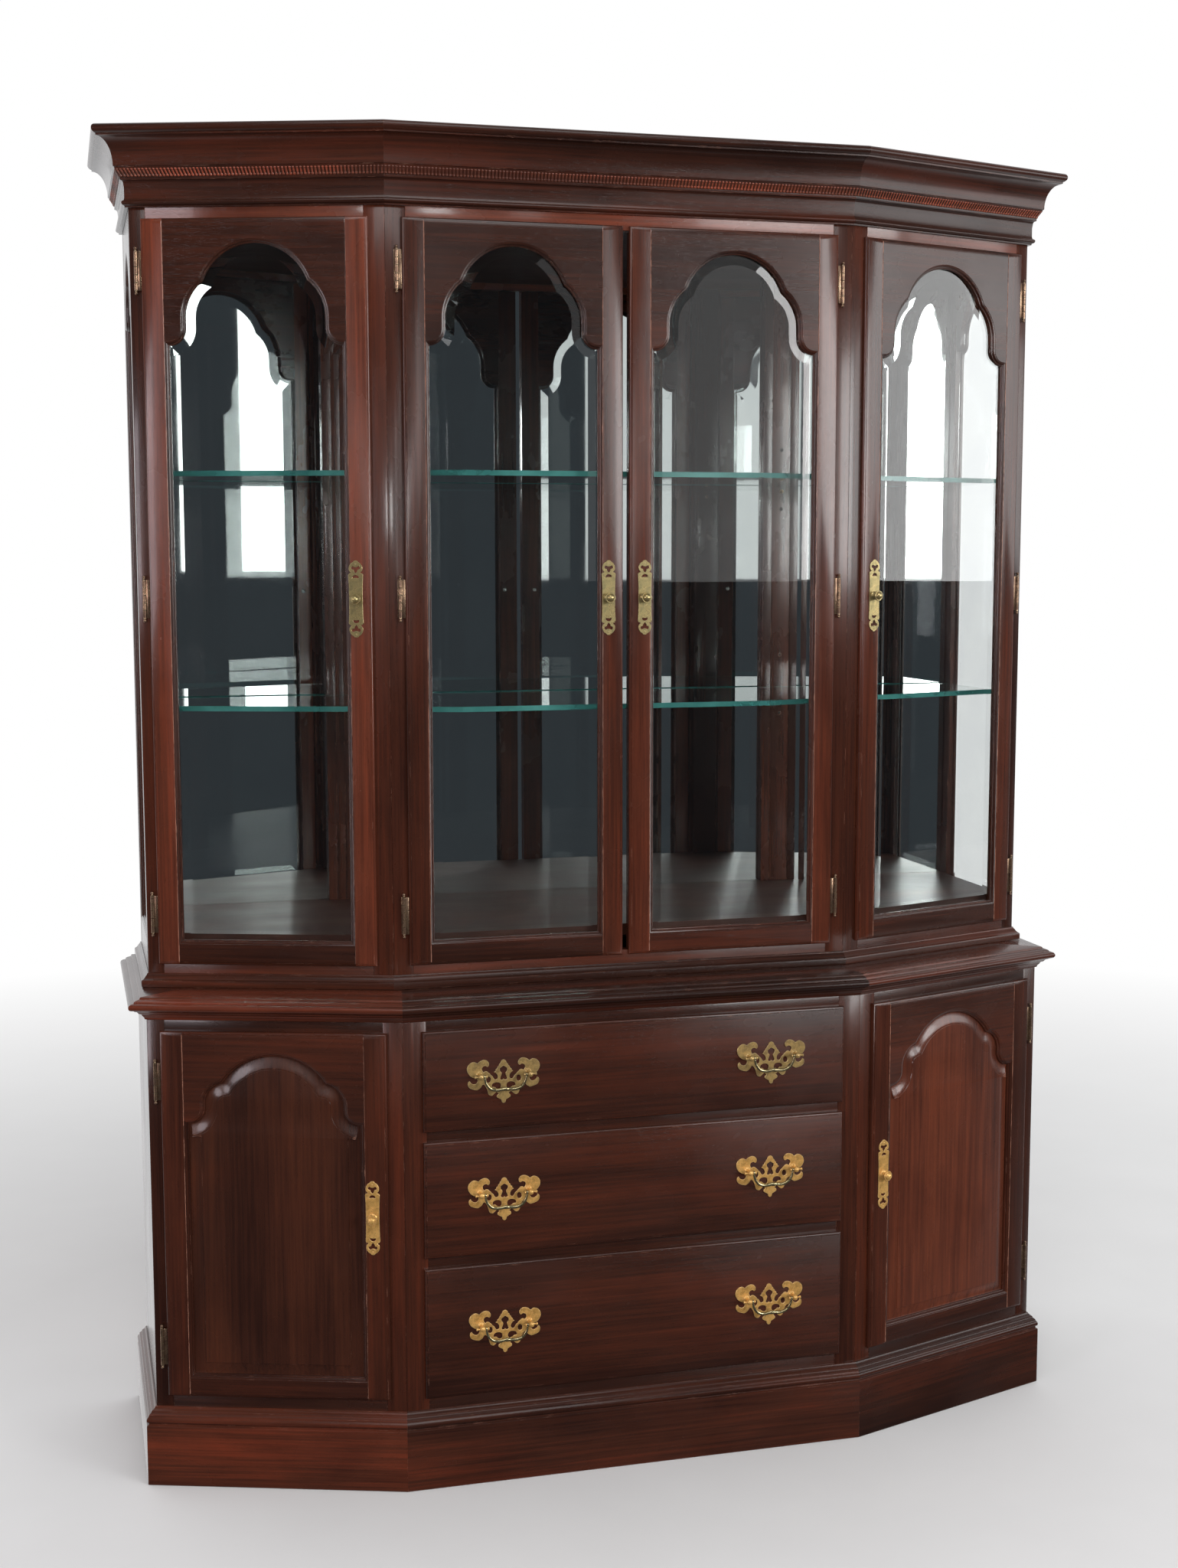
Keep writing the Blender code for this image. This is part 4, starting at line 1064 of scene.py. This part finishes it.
KEYHOLE = [(0, 22.5), (-3.0, 20.6), (-5.6, 18.6), (-5.2, 14.4), (-2.9, 11.2), (-4.2, 6.4), (-5.4, 2.2),
           (-2.2, 0.8), (0, 2.4), (2.2, 0.8), (5.4, 2.2), (4.2, 6.4), (2.9, 11.2), (5.2, 14.4), (5.6, 18.6),
           (3.0, 20.6)]
BEAN = [(4.4, -9.6), (6.4, -12.8), (10.4, -12.4), (14.2, -9.6), (18.2, -9.2), (17.2, -4.4), (10.8, -2.4),
        (5.6, -4.4)]
SMALL_HOLE = [(20.0, 4.4), (20.6, -0.8), (23.6, -2.6), (26.8, -0.6), (26.6, 4.8), (22.8, 7.2)]


def scaled(points, size=mm):
    return [(x * size, z * size) for x, z in points]


def mirrored_outline(segments, steps=4):
    """A closed outline, counter-clockwise, from the smooth segments of its right half, bottom to top."""
    right = []
    for segment in segments:
        right += smooth_line([(x, z, 0.0) for x, z in segment], steps)[:-1]
    right.append((*segments[-1][-1], 0.0))
    right = [(x, z) for x, z, _ in right]
    return right + [(-x, z) for x, z in reversed(right[1:-1])]


def flipped(points):
    return [(-x, z) for x, z in reversed(points)]


def pierced(outline, holes, thickness, ease=0.00045):
    """A sheet of brass with pierced holes and eased front edges."""
    stacks = [[(outline, 0.0), (outline, -thickness + ease), (grown(outline, -ease), -thickness)]]
    for hole in holes:
        stacks.append([(hole, 0.0), (hole, -thickness + ease), (grown(hole, ease), -thickness)])
    return slab(stacks)


def pull(drawer, side, at, body):
    outline = scaled(mirrored_outline(BATWING))
    holes = []
    for shape in (KEYHOLE, BEAN, flipped(BEAN), SMALL_HOLE, flipped(SMALL_HOLE)):
        line = smooth_line([(x, z, 0.0) for x, z in shape], 3, closed=True)
        holes.append(scaled([(x, z) for x, z, _ in line]))
    parts = [pierced(outline, holes, 0.0018)]
    for sign in (-1, 1):
        parts.append(post(sign * POST_HALF))
    # The top drawer's pulls take the darker brass, which is painted shade.
    brass_used = TOP_BRASS if drawer.endswith("top") else PULL_BRASS
    piece(f"{drawer}_pierced_plate_{side}", joined(parts), brass_used, at, body,
          (f"{drawer}_pull_plate_{side}",), smooth=40.0)


def post(x):
    """A turned post with a rounded head, and the ball ends of the bail's pin on both sides."""
    profile = [(0.0, 0.0), (5.2, 0.0), (5.2, -1.9), (4.8, -2.8), (3.6, -3.4), (2.8, -4.4), (2.6, -8.0),
               (2.6, -11.6), (3.4, -12.6), (4.3, -14.2), (4.6, -16.4), (4.3, -18.4), (3.2, -20.0),
               (1.6, -20.8), (0.0, -21.0)]
    parts = [turned(scaled(profile), 20, (x, POST_Z))]
    for side in (-1, 1):
        reach = [(0.0, 1.3), (5.7, 1.3), (6.3, 1.7), (7.2, 2.4), (8.2, 2.5), (9.0, 1.9), (9.5, 0.6)]
        points = [(x + side * (d + 1.0) * mm, -0.0163, POST_Z) for d, _ in reach]
        parts.append(tube(points, [r * mm for _, r in reach], 10))
    return joined(parts)


def bail(drawer, side, at, body):
    """A cast bail hung on a ring at each end: thicker below, with a low rise in the middle."""
    half = [(32.4, -2.1), (32.0, -4.6), (31.0, -8.4), (29.0, -12.6), (26.0, -16.6), (21.5, -19.8),
            (16.0, -21.4), (10.5, -21.6), (5.0, -20.9), (0.0, -20.4)]
    points = smooth_line([(x * mm, -0.0163, POST_Z + z * mm) for x, z in half], 4)
    points += [(-x, y, z) for x, y, z in reversed(points[:-1])]
    count = len(points)
    radii = []
    for i in range(count):
        share = abs(2 * i / (count - 1) - 1)
        radii.append((2.55 - 1.15 * share ** 3 + (0.5 if share < 0.06 else 0.0)) * mm)
    parts = [tube(points, radii, 12)]
    for sign in (-1, 1):
        eye = turned_ring(scaled([(1.6, -0.8), (2.5, -1.0), (2.8, 0.0), (2.5, 1.0), (1.6, 0.8)]), 0.0, 20)
        place = Matrix.Translation((sign * 32.4 * mm, -0.0163, POST_Z)) @ Matrix.Rotation(math.pi / 2, 4, "Z")
        bmesh.ops.transform(eye, matrix=place, verts=eye.verts)
        parts.append(eye)
    piece(f"{drawer}_cast_bail_{side}", joined(parts), BAIL_BRASS, at, body,
          (f"{drawer}_bail_{side}",), smooth=50.0)


PLATE = [
    [(0, -57.5), (2.4, -57), (3.6, -55.4)],
    [(3.6, -55.4), (7.4, -52.8), (9.9, -48.2), (10.1, -43.6), (8.6, -41)],
    [(8.6, -41), (7.0, -39.2), (9.6, -38.2)],
    [(9.6, -38.2), (11.1, -36.2), (10.9, -32.5)],
    [(10.9, -32.5), (10.3, -16), (10.3, 16), (10.9, 32.5)],
    [(10.9, 32.5), (11.1, 36.2), (9.6, 38.2)],
    [(9.6, 38.2), (7.0, 39.2), (8.6, 41)],
    [(8.6, 41), (10.1, 43.6), (9.9, 48.2), (7.4, 52.8), (3.6, 55.4)],
    [(3.6, 55.4), (2.4, 57), (0, 57.5)],
]
TREFOIL = [(0, 38.6), (2.2, 41.0), (3.2, 43.8), (6.0, 44.6), (6.6, 47.2), (4.6, 49.2), (2.2, 48.0), (0, 47.6),
           (-2.2, 48.0), (-4.6, 49.2), (-6.6, 47.2), (-6.0, 44.6), (-3.2, 43.8), (-2.2, 41.0)]
CRESCENT = [(-4.6, 31.4), (0, 31.8), (4.6, 31.4), (3.6, 34.6), (0, 36.0), (-3.6, 34.6)]


def upside_down(points):
    return [(x, -z) for x, z in reversed(points)]


def knob_and_plate(name, body, at, material):
    holes = []
    for shape in (TREFOIL, upside_down(TREFOIL), CRESCENT, upside_down(CRESCENT)):
        line = smooth_line([(x, z, 0.0) for x, z in shape], 3, closed=True)
        holes.append(scaled([(x, z) for x, z, _ in line]))
    parts = [pierced(scaled(mirrored_outline(PLATE)), holes, 0.0015, 0.0004)]
    for sign in (-1, 1):
        pin = [(0.0, -1.2), (1.1, -1.2), (1.1, -1.7), (0.8, -2.1), (0.0, -2.3)]
        parts.append(turned(scaled(pin), 12, (0.0, sign * 52.4 * mm)))
    collar = [(0.0, -1.2), (6.8, -1.2), (7.0, -2.0), (6.4, -2.8), (5.2, -3.3), (4.0, -4.0)]
    neck = [(3.6, -5.4), (3.9, -7.2), (5.4, -8.6), (7.6, -9.6)]
    head = [(8.3, -10.8), (8.3, -11.8), (7.8, -12.6), (6.9, -12.7), (6.5, -12.5), (6.3, -13.3), (5.4, -15.2),
            (3.8, -16.8), (2.0, -17.6), (0.0, -17.8)]
    knob = collar + neck + head
    parts.append(turned(scaled(knob), 32))
    piece(name + "_turned_knob", joined(parts), material, at, body, (name + "_knob",), smooth=40.0)
    back = LIP + GAP + INSERT
    screw = [(0.0, 0.0), (3.6, 0.0), (3.6, 0.5), (3.0, 1.3), (1.8, 1.8), (0.0, 2.0)]
    head = turned([(r * mm, back + y * mm) for r, y in screw], 18)
    piece(name + "_knob_screw", head, STEEL, at, body, smooth=50.0)


def knuckles(levels, radius=0.0029):
    """Barrel lengths of a hinge about the Z axis."""
    parts = []
    for low, high in levels:
        profile = [(0.0, low), (radius * 0.8, low), (radius, low + 0.0004), (radius, high - 0.0004),
                   (radius * 0.8, high), (0.0, high)]
        bm = turned(profile, 14)
        bmesh.ops.rotate(bm, matrix=Matrix.Rotation(math.pi / 2, 3, "X"), verts=bm.verts)
        parts.append(bm)
    return parts


def hinges(body, side, left_edge, width, hinge_left, heights, name, door):
    """Loose-pin butt hinges: a barrel in knuckles, ball finials, and a leaf on each side."""
    x = left_edge - HINGE_OUT if hinge_left else left_edge + width + HINGE_OUT
    axis = face_matrix(body, side) @ Matrix.Translation((x, -HINGE_FORWARD, 0.0))
    inward = 1 if hinge_left else -1
    on_door, on_frame = [], []
    for z in heights:
        turned_levels = [(z - 0.0285 + 0.0114 * i, z - 0.0285 + 0.0114 * i + 0.0110) for i in range(5)]
        on_door += knuckles(turned_levels[1::2])
        on_frame += knuckles(turned_levels[0::2])
        for sign in (-1, 1):
            finial = [(0.0, 28.6), (2.2, 28.6), (2.3, 29.6), (1.5, 30.2), (1.4, 30.8), (2.3, 31.6),
                      (2.6, 32.9), (2.1, 34.2), (1.0, 35.0), (0.0, 35.2)]
            bm = turned([(r * mm, sign * y * mm) for r, y in finial], 14)
            bmesh.ops.rotate(bm, matrix=Matrix.Rotation(math.pi / 2, 3, "X"), verts=bm.verts)
            bmesh.ops.translate(bm, vec=(0.0, 0.0, z), verts=bm.verts)
            on_frame.append(bm)
        leaf = sorted((inward * 0.0030, inward * (HINGE_OUT - 0.0002)))
        on_door.append(bar((leaf[0], 0.0002, z - 0.0285), (leaf[1], 0.0016, z + 0.0285), 0.0003))
        leaf = sorted((-inward * 0.0034, -inward * 0.0006))
        on_frame.append(bar((leaf[0], HINGE_FORWARD - 0.0012, z - 0.0285),
                            (leaf[1], HINGE_FORWARD - 0.0001, z + 0.0285), 0.0003))
    piece(name + "_hinge_knuckles", joined(on_door), HINGE_BRASS, axis, door, smooth=40.0)
    piece(name + "_hinge_barrels", joined(on_frame), HINGE_BRASS, axis, "root", smooth=40.0)


# ---------------------------------------------------------------- inside the hutch
PIN_LEVELS = (1.608, 1.5055, 1.250, 1.147)
UPPER_SUPPORT_Z = 1.5486 - 0.0042
LOWER_SUPPORT_Z = 1.194 - 0.0125


def inside():
    for side, sign in (("left", -1), ("right", 1)):
        low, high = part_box(f"shelf_post_{side}")
        parts = [grain(bar((low.x, low.y + 0.0012, low.z), tuple(high), 0.0006), "z", 0.45)]
        middle = (low.x + high.x) / 2
        strips = ((low.x, middle - 0.017), (middle - 0.0165, middle + 0.0165), (middle + 0.017, high.x))
        for start, end in strips:
            parts.append(grain(bar((start, low.y, low.z), (end, low.y + 0.0020, high.z), 0.0009), "z", 0.45))
        piece(f"shelf_post_{side}_drilled", joined(parts), FRAME_WOOD, stands_for=(f"shelf_post_{side}",))
        back = Matrix.Translation((middle, low.y, 0.0))
        pin_holes(f"back_{side}", back)
        shelf_supports(f"back_{side}", back)
        near = plan(HUTCH, -BOARD - 0.0001)
        corner = near[3] if sign > 0 else near[2]
        turn = Matrix.Rotation(sign * CANT / 2 + math.pi, 4, "Z")
        front = Matrix.Translation((*corner, 0.0)) @ turn @ Matrix.Translation((0.0, -0.0183, 0.0))
        pin_holes(f"front_{side}", front)
        shelf_supports(f"front_{side}", front)


def pin_holes(label, at):
    """Bored holes for shelf pins: a countersunk rim round a shallow disc painted with the bore's shadow."""
    rims, bores = [], []
    for z in PIN_LEVELS:
        rim = [(2.3, 0.3), (2.3, -0.15), (2.7, -0.35), (3.2, -0.30), (3.4, 0.0), (3.4, 0.3)]
        rims.append(turned_ring([(r * mm, y * mm) for r, y in rim], z))
        bore = [(0.0, 0.3), (2.3, 0.3), (2.3, -0.05), (1.2, -0.02), (0.0, -0.02)]
        bores.append(turned([(r * mm, y * mm) for r, y in bore], 16, (0.0, z)))
    piece(f"shelf_pin_rims_{label}", grain(joined(rims), "z", 0.3), FRAME_WOOD, at)
    piece(f"shelf_pin_bores_{label}", joined(bores), HOLE_SHADOW, at)


def turned_ring(profile, z, steps=18):
    """A ring about an axis along Y, from a closed section of (radius, y)."""
    bm = bmesh.new()
    rings = []
    for i in range(steps):
        angle = 2 * math.pi * i / steps
        rings.append([bm.verts.new((r * math.cos(angle), y, z + r * math.sin(angle))) for r, y in profile])
    for i in range(steps):
        near, far = rings[i], rings[(i + 1) % steps]
        for k in range(len(profile)):
            m = (k + 1) % len(profile)
            bm.faces.new((near[k], near[m], far[m], far[k]))
    bmesh.ops.recalc_face_normals(bm, faces=bm.faces)
    return bm


def shelf_supports(label, at):
    """A brass pin under the upper shelf, and a six-sided support under the lower one."""
    pin = [(0.0, 0.2), (2.2, 0.2), (2.2, -0.4), (3.4, -0.6), (3.5, -1.4), (2.6, -1.8), (2.4, -6.0),
           (1.8, -6.6), (0.0, -6.7)]
    parts = [turned(scaled(pin), 16, (0.0, UPPER_SUPPORT_Z - 0.0083))]
    block = [(0.0, 0.2), (5.4, 0.2), (5.8, -0.2), (5.8, -1.4), (5.2, -1.9), (2.6, -2.1), (2.4, -6.4),
             (0.0, -6.7)]
    parts.append(turned([(r * mm, y * mm) for r, y in block], 6, (0.0, LOWER_SUPPORT_Z)))
    piece(f"shelf_supports_{label}", joined(parts), HINGE_BRASS, at)


def hole_material():
    tree = Tree("hole_shadow")
    place = tree.place()
    colour = tree.ramp(tree.noise(place, 400.0), [(0.3, (0.004, 0.002, 0.002)), (0.7, (0.012, 0.007, 0.005))])
    tree.set(Base_Color=colour, Roughness=0.8)
    return tree.material


HOLE_SHADOW = hole_material()


# ---------------------------------------------------------------- stage, lights and camera
def stage():
    """A pale floor that turns to the white of the background well away from the cabinet."""
    bm = bmesh.new()
    bmesh.ops.create_circle(bm, cap_ends=True, radius=60.0, segments=96)
    bmesh.ops.translate(bm, vec=(0.0, 0.0, -0.0006), verts=bm.verts)
    mesh = bpy.data.meshes.new("floor")
    bm.to_mesh(mesh)
    bm.free()
    tree = Tree("pale_floor")
    place = tree.place()
    length = tree.nodes.new("ShaderNodeVectorMath")
    length.operation = "LENGTH"
    tree.links.new(place, length.inputs[0])
    away = tree.level(length.outputs["Value"], 1.2, 4.0)
    grey = tree.ramp(tree.noise(place, 3.0), [(0.3, (0.80, 0.80, 0.80)), (0.7, (0.83, 0.83, 0.83))])
    tree.set(Base_Color=tree.mix(away, grey, (0.0, 0.0, 0.0)), Roughness=0.7, Specular_IOR_Level=0.0)
    tree.set(Emission_Color=(1.0, 1.0, 1.0, 1.0), Emission_Strength=away)
    mesh.materials.append(tree.material)
    floor = bpy.data.objects.new("floor", mesh)
    bpy.context.scene.collection.objects.link(floor)
    floor.visible_glossy = False
    floor.visible_transmission = False
    floor.visible_diffuse = False


def lamp(name, place, target, size, radiance, colour=(1.0, 1.0, 1.0)):
    data = bpy.data.lights.new(name, "AREA")
    data.shape = "RECTANGLE"
    data.size, data.size_y = size
    data.energy = radiance * math.pi * size[0] * size[1]
    data.color = colour
    made = bpy.data.objects.new(name, data)
    bpy.context.scene.collection.objects.link(made)
    made.location = place
    made.rotation_euler = (Vector(target) - Vector(place)).to_track_quat("-Z", "Y").to_euler()
    made.visible_camera = False
    return made


def lights():
    lamp("window", (0.212, -6.0, 2.15), (0.212, 0.0, 2.15), (0.40, 1.6), 3.0)
    lamp("near_wall", (2.24, -6.0, 2.45), (2.24, 0.0, 2.45), (1.12, 2.3), 0.7)
    lamp("bright_wall", (4.25, -5.6, 2.5), (0.9, 0.0, 2.3), (2.9, 2.4), 9.5)
    lamp("side_wall", (6.0, -2.6, 2.4), (0.0, 0.2, 2.0), (3.4, 2.2), 3.2)
    lamp("left_softbox", (-4.6, -3.1, 1.9), (-0.5, 0.0, 1.3), (1.4, 1.8), 7.0, (1.0, 0.90, 0.96))
    lamp("key_above", (-0.4, -3.0, 4.4), (0.0, 0.0, 0.9), (3.4, 2.0), 3.0)
    fill = lamp("front_fill", (-1.6, -5.4, 1.7), (0.0, 0.0, 1.1), (3.0, 2.2), 5.0, (1.0, 0.95, 0.90))
    fill.visible_glossy = False
    fill.visible_transmission = False
    lamp("flash", (-0.72, -3.35, 1.80), (0.0, 0.0, 0.9), (0.26, 0.26), 26.0)
    world = bpy.data.worlds.new("studio")
    bpy.context.scene.world = world
    world.use_nodes = True
    nodes, links = world.node_tree.nodes, world.node_tree.links
    background = nodes["Background"]
    place = nodes.new("ShaderNodeTexCoord")
    split = nodes.new("ShaderNodeSeparateXYZ")
    links.new(place.outputs["Generated"], split.inputs[0])
    shade = nodes.new("ShaderNodeValToRGB")
    stops = shade.color_ramp.elements
    stops[0].position, stops[0].color = 0.40, (0.035, 0.040, 0.046, 1.0)
    stops[1].position, stops[1].color = 0.62, (0.95, 0.95, 0.96, 1.0)
    level = nodes.new("ShaderNodeMapRange")
    level.inputs["From Min"].default_value = -1.0
    level.inputs["From Max"].default_value = 1.0
    links.new(split.outputs["Y"], level.inputs["Value"])
    links.new(level.outputs["Result"], shade.inputs["Fac"])
    links.new(shade.outputs["Color"], background.inputs["Color"])
    plain = nodes.new("ShaderNodeBackground")
    plain.inputs["Color"].default_value = (1.0, 1.0, 1.0, 1.0)
    path = nodes.new("ShaderNodeLightPath")
    mixed = nodes.new("ShaderNodeMixShader")
    links.new(path.outputs["Is Camera Ray"], mixed.inputs["Fac"])
    links.new(background.outputs["Background"], mixed.inputs[1])
    links.new(plain.outputs["Background"], mixed.inputs[2])
    links.new(mixed.outputs["Shader"], nodes["World Output"].inputs["Surface"])


def camera():
    data = bpy.data.cameras.new("camera")
    data.sensor_fit = "VERTICAL"
    data.sensor_height = 36.0
    data.lens = 46.06
    data.clip_start = 0.05
    made = bpy.data.objects.new("camera", data)
    bpy.context.scene.collection.objects.link(made)
    made.location = (-0.8544, -3.1329, 1.4279)
    made.rotation_euler = (math.pi / 2 - 0.1142, 0.0012, -0.2600)
    bpy.context.scene.camera = made


def kept_nodes():
    dress("hutch_floor_board", INNER_WOOD, 0.0005)
    dress("hutch_top_board", INNER_WOOD)
    dress("base_floor_board", INNER_WOOD)
    dress("hutch_back_panel", BACK_BOARD)
    dress("base_back_panel", BACK_BOARD)
    dress("back_mirror", MIRROR)
    for side in ("left", "right"):
        dress(f"base_end_{side}", END_WOOD, 0.0007)
        dress(f"base_partition_{side}", INNER_WOOD)
    for label in DRAWER_Z:
        dress(f"drawer_{label}_box", INNER_WOOD, 0.0007)
    for label in ("lower", "upper"):
        dress(f"glass_shelf_{label}", SHELF_GLASS, 0.0008)


def main():
    camera()
    stage()
    lights()
    kept_nodes()
    crown()
    waist()
    buffet()
    base_moulding()
    hutch_frame()
    base_frame()
    doors()
    for label, (bottom, top) in DRAWER_Z.items():
        drawer_front(label, bottom, top)
    inside()
    bpy.context.scene.view_settings.view_transform = "Standard"


main()
